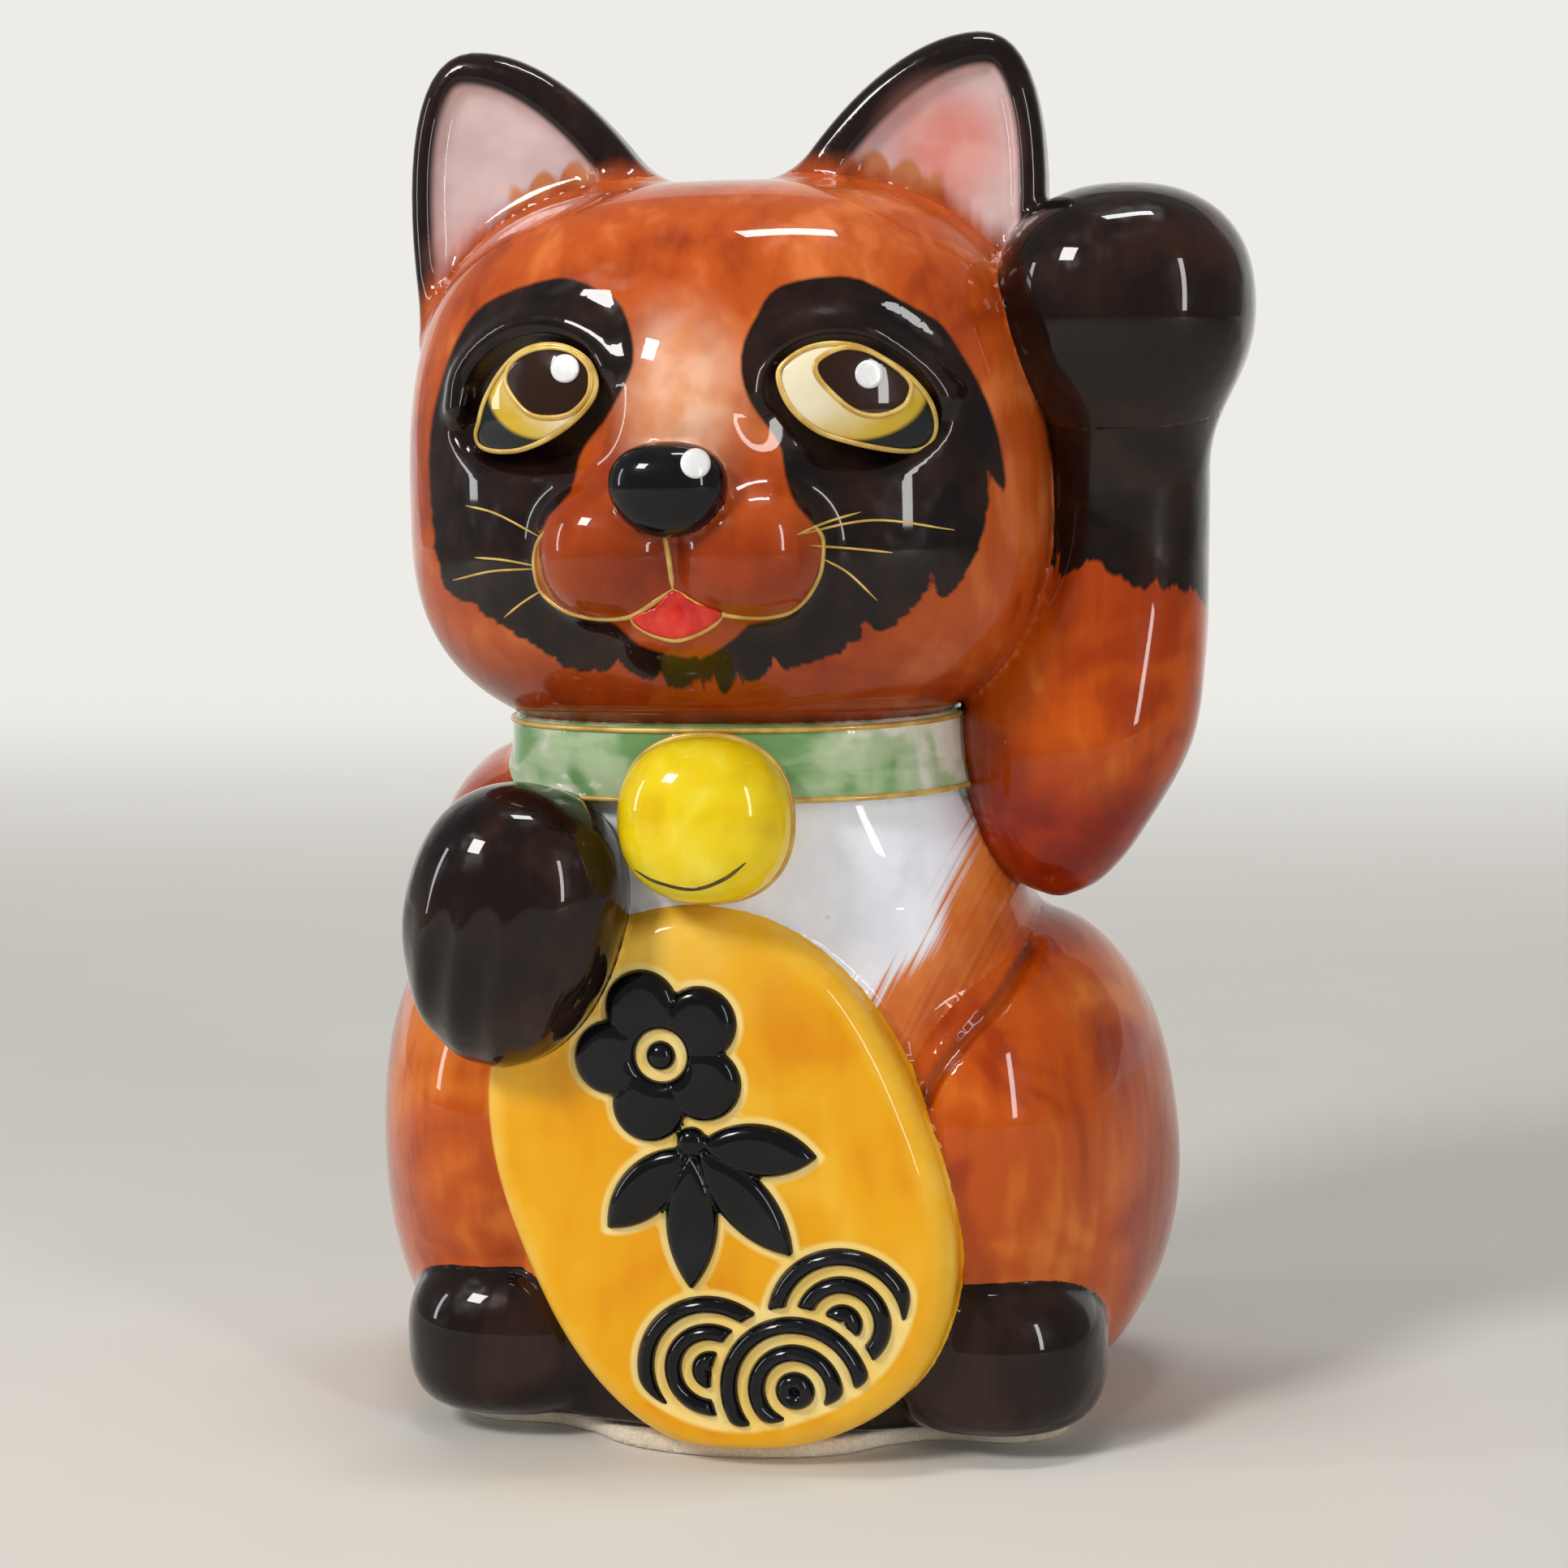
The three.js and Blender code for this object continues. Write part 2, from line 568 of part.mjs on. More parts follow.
const pieces = {
  base_plate: [basePlate(), material.bisque],
  stopper: [stopper(), material.rubber],
  torso_shell: [torsoShell(), material.brownGlaze],
  tail: [tailCasting(), material.blackGlaze],
  ...leg(1),
  ...leg(-1),
  koban: [biggest(cut(kobanForm(), body, table)), material.goldGlaze],
  collar: [biggest(cut(collarForm(), body, head)), material.greenGlaze],
  bell: [bellCasting(), material.yellowGlaze],
  lowered_arm: [biggest(cut(loweredArmForm(), body, strap, coin, head, rightThigh)), material.brownGlaze],
  lowered_paw: [loweredPawCasting(), material.blackGlaze],
  head_shell: [headShell(), material.brownGlaze],
  ...eyeAndEar(1),
  ...eyeAndEar(-1),
  muzzle: [biggest(cut(muzzleForm(), head)), material.brownGlaze],
  nose: [biggest(cut(noseForm(), head, visage)), material.blackGlaze],
  raised_arm: [biggest(cut(armForm(), body, head, strap, leftThigh, leftEar)), material.brownGlaze],
  raised_paw: [biggest(cut(raisedPawForm(), head, armForm(joint), leftEar)), material.blackGlaze],
};

// The scene graph: every piece hangs from the figure, placed at its own middle

const figure = new THREE.Group();
for (const [name, [solid, glaze]] of Object.entries(pieces)) {
  const geometry = geometryOf(solid);
  geometry.computeBoundingBox();
  const middle = geometry.boundingBox.getCenter(new THREE.Vector3());
  geometry.translate(-middle.x, -middle.y, -middle.z);
  const mesh = new THREE.Mesh(geometry, glaze);
  mesh.name = name;
  mesh.position.copy(middle);
  figure.add(mesh);
}

// The origin is on the table under the middle of the figure's outer box.
const middle = new THREE.Box3().setFromObject(figure, true).getCenter(new THREE.Vector3());
figure.position.set(-middle.x, -middle.y, 0);
const root = new THREE.Group();
root.add(figure);

export default root;
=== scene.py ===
"""Looks of a glazed ceramic lucky figure in the beckoning pose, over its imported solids.

Lengths are millimetres until a mesh is made, round the middle of the figure's foot.
The figure looks along -Y, and left and right are its own: its left is +X.
"""

import logging
import math
from collections.abc import Callable, Sequence
from dataclasses import dataclass, field
from enum import Enum

import bpy
import numpy as np
from mathutils import Matrix, Vector


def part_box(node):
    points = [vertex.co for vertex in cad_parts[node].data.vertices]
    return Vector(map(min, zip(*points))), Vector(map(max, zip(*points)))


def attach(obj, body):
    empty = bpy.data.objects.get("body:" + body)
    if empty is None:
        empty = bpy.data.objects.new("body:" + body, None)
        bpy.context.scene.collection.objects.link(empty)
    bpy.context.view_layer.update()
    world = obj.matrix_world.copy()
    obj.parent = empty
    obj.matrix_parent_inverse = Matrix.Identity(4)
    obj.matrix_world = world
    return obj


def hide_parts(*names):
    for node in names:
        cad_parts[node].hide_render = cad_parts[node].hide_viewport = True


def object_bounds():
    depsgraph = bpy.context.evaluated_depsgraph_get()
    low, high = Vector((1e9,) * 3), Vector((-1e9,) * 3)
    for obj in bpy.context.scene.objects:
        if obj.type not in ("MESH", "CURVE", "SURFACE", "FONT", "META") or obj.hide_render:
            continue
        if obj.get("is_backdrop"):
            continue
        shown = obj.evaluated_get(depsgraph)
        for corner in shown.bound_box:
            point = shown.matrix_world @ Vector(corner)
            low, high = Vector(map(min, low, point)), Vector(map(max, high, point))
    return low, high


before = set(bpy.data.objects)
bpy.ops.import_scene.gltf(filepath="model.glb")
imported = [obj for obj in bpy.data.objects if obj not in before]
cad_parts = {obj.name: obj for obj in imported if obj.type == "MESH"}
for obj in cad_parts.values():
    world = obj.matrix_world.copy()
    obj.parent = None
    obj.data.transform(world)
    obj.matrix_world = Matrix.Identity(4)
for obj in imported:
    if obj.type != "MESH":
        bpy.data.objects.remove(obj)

Array = np.ndarray
Field = Callable[[Array], Array]
Colour = tuple[float, float, float]
Pair = tuple[float, float]
Place = tuple[float, float, float]
Oval = tuple[float, float, float, float]
Spot = tuple[int, int]
Pixels = tuple[Spot, ...]
Paint = dict[str, Array]
Piece = bpy.types.Object
Material = bpy.types.Material
Socket = bpy.types.NodeSocket

CAD_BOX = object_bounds()
MM = 0.001
TINY = 1e-9
FOOT_HEIGHT = 2.4  # top of the unglazed base plate, where the glazed castings start
BOW = 2.3  # exponent of the rounded sections: 2 is an ellipse, more is squarer
AWAY = 30.0  # a distance that no paint reaches
BEHIND = 12.0  # what keeps a painted area off the far side
BATCH = 20000  # points that are measured at a time
SLOPE_STEP = 0.03  # how far apart a field is read for its slope
NOISE_MIDDLE = 0.5  # what noise is on average

log = logging.getLogger("figure")


class Side(Enum):
    """The figure's own right and left."""

    RIGHT = -1
    LEFT = 1

    @property
    def word(self) -> str:
        """The side's name as it stands in the names of pieces."""
        return self.name.lower()


def srgb(red: int, green: int, blue: int) -> Colour:
    """Turns a colour of 0 to 255 a channel into the linear values that shaders take."""
    shares = (value / 255 for value in (red, green, blue))
    return tuple(s / 12.92 if s <= 0.04045 else ((s + 0.055) / 1.055) ** 2.4 for s in shares)


def turned(lean: float = 0.0, toe_in: float = 0.0, tilt: float = 0.0) -> Array:
    """Makes the axes of a form that leans about X, then tilts about Y, then turns about Z.

    Args:
        lean: Degrees about X.
        toe_in: Degrees about Z.
        tilt: Degrees about Y.

    Returns:
        A 3 by 3 matrix that takes the form's own axes to the figure's.
    """
    about_x = Matrix.Rotation(math.radians(lean), 3, "X")
    about_y = Matrix.Rotation(math.radians(tilt), 3, "Y")
    about_z = Matrix.Rotation(math.radians(toe_in), 3, "Z")
    return np.array(about_z @ about_y @ about_x)


def blended(first: Array, second: Array, reach: float) -> Array:
    """Joins two distances with a fillet that starts where they differ by less than reach."""
    overlap = np.maximum(reach - np.abs(first - second), 0)
    return np.minimum(first, second) - overlap**2 / (4 * reach)


def carved(first: Array, second: Array, reach: float) -> Array:
    """Keeps what two distances have in common, with a rounded edge."""
    return -blended(-first, -second, reach)


def rounded(flat: Array, depth: Array, edge: float) -> Array:
    """Makes a slab with a rounded edge from the distance to its outline and to its faces.

    Args:
        flat: Distances to the outline.
        depth: Distances to the faces.
        edge: Rounding of the edge.

    Returns:
        The distances to the slab.
    """
    out, over = flat + edge, depth + edge
    corner = np.hypot(np.maximum(out, 0), np.maximum(over, 0))
    return np.minimum(np.maximum(out, over), 0) + corner - edge


def oval_distance(across: Array, along: Array, half: Pair, bow: float = 2.0) -> Array:
    """Measures flat points against an oval round the middle of their plane.

    Args:
        across: How far across the points are.
        along: How far along they are.
        half: The oval's half sizes.
        bow: Its exponent: 2 is an ellipse, more is squarer.

    Returns:
        Their distances, negative inside.
    """
    wide, long = half
    a, b = np.abs(across) / wide, np.abs(along) / long
    gauge = (a**bow + b**bow) ** (1 / bow) + TINY
    steep = np.hypot((a / gauge) ** (bow - 1) / wide, (b / gauge) ** (bow - 1) / long)
    return (gauge - 1) / (steep + TINY)


def both(first: Field, second: Field) -> Field:
    """Makes the field of two forms side by side."""
    return lambda points: np.minimum(first(points), second(points))


def pressed(form: Field, tool: Field, edge: float) -> Field:
    """Makes the field of a form with a tool pressed into it, with a rounded edge."""
    return lambda points: carved(form(points), -tool(points), edge)


def bowed(angles: Array) -> tuple[Array, Array]:
    """Finds the points of a rounded section of size 1, across and along it.

    Args:
        angles: Angles round the section.

    Returns:
        How far across and how far along each point is.
    """
    across, along = np.cos(angles), np.sin(angles)
    power = 2 / BOW
    return np.sign(across) * np.abs(across) ** power, np.sign(along) * np.abs(along) ** power


def slope(shape: Field, points: Array) -> Array:
    """Finds the unit direction in which a field grows at each point.

    Args:
        shape: The field.
        points: The points.

    Returns:
        The directions.
    """
    here = shape(points)
    grown = [shape(points + SLOPE_STEP * axis) - here for axis in np.eye(3)]
    direction = np.stack(grown, axis=1)
    return direction / (np.linalg.norm(direction, axis=1, keepdims=True) + TINY)


def smoothed(points: Sequence[Sequence[float]], closed: bool, cuts: int = 4) -> Array:
    """Draws a smooth curve through points.

    Args:
        points: The points, of two or three numbers each.
        closed: Whether the curve returns to its first point.
        cuts: Steps between two points.

    Returns:
        The points of the curve, without the first one again at the end of a closed curve.
    """
    knots = np.asarray(points, float)
    count = len(knots)
    ends = knots[[-1]], knots[[0, 1]]
    if not closed:
        ends = 2 * knots[[0]] - knots[[1]], 2 * knots[[-1]] - knots[[-2]]
    padded = np.concatenate([ends[0], knots, ends[1]])
    curve = []
    for span in range(count if closed else count - 1):
        a, b, c, d = padded[span : span + 4]
        for share in np.arange(cuts) / cuts:
            bend = (2 * a - 5 * b + 4 * c - d) * share**2 + (3 * b - a - 3 * c + d) * share**3
            curve.append(b + ((c - a) * share + bend) / 2)
    if not closed:
        curve.append(knots[-1])
    return np.array(curve)


def outline_distance(points: Array, outline: Array) -> Array:
    """Measures flat points against a closed outline.

    Args:
        points: Points of two numbers each.
        outline: The outline's corners in order.

    Returns:
        The distance of each point, negative inside the outline.
    """
    start, end = outline, np.roll(outline, -1, axis=0)
    run = end - start
    length = (run**2).sum(1) + TINY
    result = np.empty(len(points))
    for low in range(0, len(points), BATCH):
        spot = points[low : low + BATCH, None, :]
        lead = spot - start
        share = np.clip((lead * run).sum(2) / length, 0, 1)
        gap = ((lead - share[..., None] * run) ** 2).sum(2).min(1)
        spans = (start[:, 1] > spot[..., 1]) != (end[:, 1] > spot[..., 1])
        rise = np.where(np.abs(run[:, 1]) < TINY, TINY, run[:, 1])
        crossing = start[:, 0] + lead[..., 1] * run[:, 0] / rise
        inside = (spans & (spot[..., 0] < crossing)).sum(1) % 2 == 1
        result[low : low + BATCH] = np.sqrt(gap) * np.where(inside, -1, 1)
    return result


def line_distance(points: Array, line: Array) -> Array:
    """Measures how far points are from an open line of points.

    Args:
        points: The points.
        line: The line's points in order.

    Returns:
        The distances.
    """
    start, run = line[:-1], np.diff(line, axis=0)
    length = (run**2).sum(1) + TINY
    result = np.empty(len(points))
    for low in range(0, len(points), BATCH):
        lead = points[low : low + BATCH, None, :] - start
        share = np.clip((lead * run).sum(2) / length, 0, 1)
        result[low : low + BATCH] = ((lead - share[..., None] * run) ** 2).sum(2).min(1)
    return np.sqrt(result)


@dataclass(frozen=True)
class PhotoCamera:
    """The camera of the photograph: where it stands, where it aims and how long its lens is."""

    turn: float = 12.59  # degrees round towards the figure's left
    distance: float = 440.6
    height: float = 138.2
    aim_side: float = 3.97
    aim_height: float = 84.23
    roll: float = 0.0213  # radians
    focal: float = 4104.0  # pixels
    frame_side: int = 1932  # pixels
    sensor: float = 36.0
    search_from: float = 0.75  # share of the distance at which a search along a line of sight starts
    search_steps: int = 60
    stride: float = 0.8  # share of the measured way that it goes at a step

    def place(self) -> Array:
        """Where the camera stands."""
        angle = math.radians(self.turn)
        return np.array([self.distance * math.sin(angle), -self.distance * math.cos(angle), self.height])

    def axes(self) -> tuple[Array, Array, Array]:
        """Finds the camera's own directions.

        Returns:
            Its right, its up and the way it looks.
        """
        angle = math.radians(self.turn)
        aim = np.array([self.aim_side * math.cos(angle), self.aim_side * math.sin(angle), self.aim_height])
        ahead = aim - self.place()
        ahead /= np.linalg.norm(ahead)
        level = np.cross(ahead, (0, 0, 1))
        level /= np.linalg.norm(level)
        over = np.cross(level, ahead)
        right = level * math.cos(self.roll) - over * math.sin(self.roll)
        return right, np.cross(right, ahead), ahead

    def pixels(self, points: Array) -> Array:
        """Finds the pixels of the photograph that show the points.

        Args:
            points: The points.

        Returns:
            Their pixels.
        """
        right, up, ahead = self.axes()
        lead = points - self.place()
        scale = self.focal / (lead @ ahead)
        return self.frame_side / 2 + np.stack([scale * (lead @ right), -scale * (lead @ up)], axis=1)

    def hit(self, shape: Field, pixels: Array) -> Array:
        """Finds where the lines of sight through pixels meet a shape.

        Args:
            shape: The shape's distance field.
            pixels: Pixels of the photograph.

        Returns:
            One point on the shape's skin for each pixel.
        """
        right, up, ahead = self.axes()
        across = (np.asarray(pixels, float) - self.frame_side / 2) / self.focal
        sight = ahead + across[:, :1] * right - across[:, 1:] * up
        sight /= np.linalg.norm(sight, axis=1, keepdims=True)
        run = np.full(len(sight), self.distance * self.search_from)
        for _ in range(self.search_steps):
            run += self.stride * shape(self.place() + run[:, None] * sight)
        return self.place() + run[:, None] * sight

    def prism(self, outline: Array) -> Field:
        """Makes the field of everything that lies behind an outline drawn on the photograph."""
        scale = self.distance / self.focal
        return lambda points: scale * outline_distance(self.pixels(points), outline)

    def make(self, shift: Array) -> None:
        """Sets up the scene's camera.

        Args:
            shift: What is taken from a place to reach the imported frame.
        """
        right, up, ahead = self.axes()
        data = bpy.data.cameras.new("photo_camera")
        data.sensor_width = self.sensor
        data.lens = self.sensor * self.focal / self.frame_side
        camera = bpy.data.objects.new("photo_camera", data)
        bpy.context.scene.collection.objects.link(camera)
        matrix = Matrix(np.stack([right, up, -ahead], axis=1).tolist()).to_4x4()
        matrix.translation = Vector((self.place() - shift) * MM)
        camera.matrix_world = matrix
        bpy.context.scene.camera = camera


@dataclass(frozen=True)
class Egg:
    """A rounded lump whose front and back, and top and bottom, may differ."""

    centre: Place
    half_width: float
    front: float
    back: float
    rise: float
    drop: float
    top_bow: float = BOW
    low_bow: float = BOW
    axes: Array = field(default_factory=lambda: np.eye(3))

    def __call__(self, points: Array) -> Array:
        """Measures how far points are from the lump's skin, negative inside.

        Args:
            points: The points.

        Returns:
            Their distances.
        """
        x, y, z = ((points - self.centre) @ self.axes).T
        depth = np.where(y < 0, self.front, self.back)
        height = np.where(z > 0, self.rise, self.drop)
        bow = np.where(z > 0, self.top_bow, self.low_bow)
        a, b, c = np.abs(x) / self.half_width, np.abs(y) / depth, np.abs(z) / height
        ring = (a**BOW + b**BOW) ** (1 / BOW) + TINY
        gauge = (ring**bow + c**bow) ** (1 / bow) + TINY
        around = (ring / gauge) ** (bow - 1)
        slope_x = around * (a / ring) ** (BOW - 1) / self.half_width
        slope_y = around * (b / ring) ** (BOW - 1) / depth
        slope_z = (c / gauge) ** (bow - 1) / height
        return (gauge - 1) / np.sqrt(slope_x**2 + slope_y**2 + slope_z**2 + TINY)


def lump(centre: Place, half: Place, axes: Array | None = None) -> Egg:
    """Makes a lump with equal halves.

    Args:
        centre: Its middle.
        half: Its half sizes across, in depth and in height.
        axes: Its own axes, where it is turned.

    Returns:
        The lump.
    """
    across, deep, high = half
    return Egg(centre, across, deep, deep, high, high, axes=np.eye(3) if axes is None else axes)


@dataclass(frozen=True)
class Section:
    """One rounded section of a loft, at a height over the table."""

    up: float
    y: float
    half_width: float
    half_depth: float
    x: float = 0.0


class Loft:
    """A form drawn through rounded sections from low to high."""

    end = 2.0  # rounding of the two ends
    step = 0.05  # how far above a point the sections are read again, for the slope
    cuts = 24  # steps between two sections

    def __init__(self, sections: Sequence[Section], grow: float = 0.0) -> None:
        """Lays a smooth curve through the sections.

        Args:
            sections: The sections from low to high.
            grow: How far the skin stands outside them.
        """
        rows = [(s.up, s.x, s.y, s.half_width + grow, s.half_depth + grow) for s in sections]
        self.curve = smoothed(rows, closed=False, cuts=self.cuts)
        self.low, self.high = rows[0][0], rows[-1][0]

    def at(self, up: Array) -> list[Array]:
        """Reads the middle and the half sizes at heights."""
        return [np.interp(up, self.curve[:, 0], column) for column in self.curve[:, 1:].T]

    def ring(self, up: float, angles: Array) -> Array:
        """Finds the points of one section round the form.

        Args:
            up: The section's height.
            angles: Angles round it.

        Returns:
            The points.
        """
        x, y, wide, deep = (float(v[0]) for v in self.at(np.array([up])))
        across, along = bowed(angles)
        return np.stack([x + wide * across, y + deep * along, np.full(len(angles), up)], axis=1)

    def _gauge(self, points: Array, lift: float) -> tuple[Array, Array]:
        """Reads the sections a lift above points: how far out they are, and the slope of that.

        Args:
            points: The points.
            lift: How far above them the sections are read.

        Returns:
            How far out they are, 1 at the skin, and the slope of that squared.
        """
        x, y, wide, deep = self.at(points[:, 2] + lift)
        a, b = np.abs(points[:, 0] - x) / wide, np.abs(points[:, 1] - y) / deep
        ring = (a**BOW + b**BOW) ** (1 / BOW) + TINY
        flat = ((a / ring) ** (BOW - 1) / wide) ** 2 + ((b / ring) ** (BOW - 1) / deep) ** 2
        return ring, flat

    def __call__(self, points: Array) -> Array:
        """Measures how far points are from the skin, negative inside.

        Args:
            points: The points.

        Returns:
            Their distances.
        """
        ring, flat = self._gauge(points, 0.0)
        above, _ = self._gauge(points, self.step)
        side = (ring - 1) / np.sqrt(flat + ((above - ring) / self.step) ** 2 + TINY)
        ends = np.maximum(self.low - points[:, 2], points[:, 2] - self.high)
        return carved(side, ends, self.end)


class Clay:
    """Every lump of clay by name, and how softly each meets its neighbours."""

    dip = 0.4  # how fast a casting falls away under its neighbour's skin
    lap = 2.5  # how far a casting runs on inside its neighbour
    foot_edge = 1.2  # rounding where the glaze ends over the base plate

    def __init__(self) -> None:
        """Starts with no clay."""
        self.forms: dict[str, Field] = {}
        self.reaches: dict[frozenset[str], float] = {}

    def join(self, name: str, *others: str, reach: float) -> None:
        """Says that a lump meets others in a fillet of some reach."""
        for other in others:
            self.reaches[frozenset((name, other))] = reach

    def casting(self, name: str) -> Field:
        """Makes the field of one casting, cut where it meets its neighbours.

        Args:
            name: The lump's name.

        Returns:
            A field whose skin runs on into the neighbours' skins without a step.
        """
        pairs = [(pair - {name}, reach) for pair, reach in self.reaches.items() if name in pair]
        joints = [(next(iter(other)), reach) for other, reach in pairs]

        def measure(points: Array) -> Array:
            """Measures points against the casting.

            Args:
                points: The points.

            Returns:
                Their distances, negative inside.
            """
            own = self.forms[name](points)
            skin, nearest = own, np.full(len(points), np.inf)
            for other, reach in joints:
                distance = self.forms[other](points)
                skin = blended(skin, distance, reach)
                nearest = np.minimum(nearest, distance)
            past = own - nearest
            closed = np.maximum(skin + self.dip * np.maximum(past, 0), past - self.lap)
            return carved(closed, FOOT_HEIGHT - points[:, 2], self.foot_edge)

        return measure


@dataclass(frozen=True)
class Net:
    """Lays a mesh of near-square faces on the skin of a field."""

    pitch: float
    block: int = 8
    passes: int = 3
    reach: float = 1.8  # blocks from the skin within which the field is read in full
    ease: float = 0.6  # share of the way that a point moves in a pass

    def _values(self, shape: Field, low: Array, blocks: Array) -> Array:
        """Reads the field at the corners of a grid, in full only near the skin.

        Args:
            shape: The field.
            low: The grid's lowest corner.
            blocks: Blocks along each axis.

        Returns:
            The field's values on the grid.
        """
        side = self.block * self.pitch
        spots = np.stack(np.meshgrid(*[np.arange(n) for n in blocks], indexing="ij"), axis=-1)
        coarse = shape(low + side * (spots.reshape(-1, 3) + 0.5)).reshape(blocks)
        values = coarse
        for axis in range(3):
            values = np.repeat(values, self.block, axis)
        values = np.pad(values, ((0, 1),) * 3, mode="edge")
        near = np.zeros(values.shape, bool)
        for i, j, k in self.block * np.argwhere(np.abs(coarse) < self.reach * side):
            near[i : i + self.block + 1, j : j + self.block + 1, k : k + self.block + 1] = True
        corners = np.argwhere(near)
        values[near] = shape(low + self.pitch * corners)
        return values

    def lay(self, shape: Field, low: Array, high: Array) -> tuple[Array, Array, Array]:
        """Lays the mesh.

        Args:
            shape: The field.
            low: Lowest corner of the space that is searched.
            high: Highest corner of it.

        Returns:
            The points, the four-sided faces, and each point's outward direction.
        """
        blocks = np.ceil((high - low) / (self.pitch * self.block)).astype(int)
        values = self._values(shape, low, blocks)
        inside = values < 0
        cells = np.array(values.shape) - 1
        corner = np.array([(i, j, k) for i in (0, 1) for j in (0, 1) for k in (0, 1)])
        windows = [tuple(slice(s, s + n) for s, n in zip(shift, cells)) for shift in corner]
        total = sum(inside[window].astype(np.int8) for window in windows)
        active = np.argwhere((total > 0) & (total < len(corner)))
        at_corner = np.stack([values[tuple((active + shift).T)] for shift in corner], axis=1)
        sums, hits = np.zeros((len(active), 3)), np.zeros(len(active))
        for a in range(len(corner)):
            for b in range(a + 1, len(corner)):
                if np.abs(corner[a] - corner[b]).sum() != 1:
                    continue
                first, second = at_corner[:, a], at_corner[:, b]
                cut = (first < 0) != (second < 0)
                share = np.where(cut, first / np.where(cut, first - second, 1), 0)
                sums += cut[:, None] * (corner[a] + share[:, None] * (corner[b] - corner[a]))
                hits += cut
        points = low + self.pitch * (active + sums / hits[:, None])
        faces = self._faces(inside, active, cells)
        return self._relaxed(shape, points, faces)

    def _faces(self, inside: Array, active: Array, cells: Array) -> Array:
        """Joins the points of cells round each grid edge that the skin crosses.

        Args:
            inside: Which grid corners are inside.
            active: The cells that hold a point.
            cells: Cells along each axis.

        Returns:
            The faces, four points each.
        """
        index = np.full(cells, -1)
        index[tuple(active.T)] = np.arange(len(active))
        faces = []
        for axis in range(3):
            ahead = np.moveaxis(inside, axis, 0)
            spots = np.argwhere(ahead[:-1] != ahead[1:])
            others = [a for a in range(3) if a != axis]
            spot = np.empty_like(spots)
            spot[:, axis], spot[:, others[0]], spot[:, others[1]] = spots.T
            whole = (spot[:, others] > 0).all(1) & (spot[:, others] < cells[others]).all(1)
            spot = spot[whole]
            u, v = np.eye(3, dtype=int)[[(axis + 1) % 3, (axis + 2) % 3]]
            quad = np.stack([index[tuple((spot - s).T)] for s in (u + v, v, 0 * u, u)], axis=1)
            backward = ~inside[tuple(spot.T)]
            quad[backward] = quad[backward][:, ::-1]
            faces.append(quad)
        return np.concatenate(faces)

    def _relaxed(self, shape: Field, points: Array, faces: Array) -> tuple[Array, Array, Array]:
        """Evens out the points along the skin and drops them on to it.

        Args:
            shape: The field.
            points: The points as they were laid.
            faces: The faces.

        Returns:
            The points, the faces, and each point's outward direction.
        """
        edges = np.concatenate([faces[:, [i, (i + 1) % 4]] for i in range(4)])
        edges = np.concatenate([edges, edges[:, ::-1]])
        count = np.maximum(np.bincount(edges[:, 0], minlength=len(points)), 1)
        for _ in range(self.passes):
            sums = [np.bincount(edges[:, 0], column[edges[:, 1]], len(points)) for column in points.T]
            move = np.stack(sums, axis=1) / count[:, None] - points
            normal = slope(shape, points)
            points = points + self.ease * (move - (move * normal).sum(1, keepdims=True) * normal)
            drop = np.clip(shape(points), -self.pitch / 2, self.pitch / 2)
            points = points - drop[:, None] * normal
        return points, faces, slope(shape, points)


class Value:
    """A number's socket in a shader, with arithmetic that adds Math nodes."""

    def __init__(self, shader: "Shader", socket: Socket) -> None:
        """Wraps a socket of a shader."""
        self.shader = shader
        self.socket = socket

    def _math(self, operation: str, first: "Value | float", second: "Value | float") -> "Value":
        """Adds one Math node to the shader."""
        node = self.shader.node("ShaderNodeMath", {"operation": operation}, {0: first, 1: second})
        return Value(self.shader, node.outputs[0])

    def __add__(self, other: "Value | float") -> "Value":
        """Adds a number or another socket."""
        return self._math("ADD", self, other)

    __radd__ = __add__

    def __sub__(self, other: "Value | float") -> "Value":
        """Takes away a number or another socket."""
        return self._math("SUBTRACT", self, other)

    def __mul__(self, other: "Value | float") -> "Value":
        """Multiplies by a number or another socket."""
        return self._math("MULTIPLY", self, other)

    def between(self, low: float, high: float) -> "Value":
        """Rises smoothly from 0 at low to 1 at high, or falls where low is the greater.

        Args:
            low: Where the result is 0.
            high: Where it is 1.

        Returns:
            The result.
        """
        settings = {"interpolation_type": "SMOOTHSTEP"}
        inputs = {"Value": self, "From Min": low, "From Max": high}
        node = self.shader.node("ShaderNodeMapRange", settings, inputs)
        return Value(self.shader, node.outputs[0])


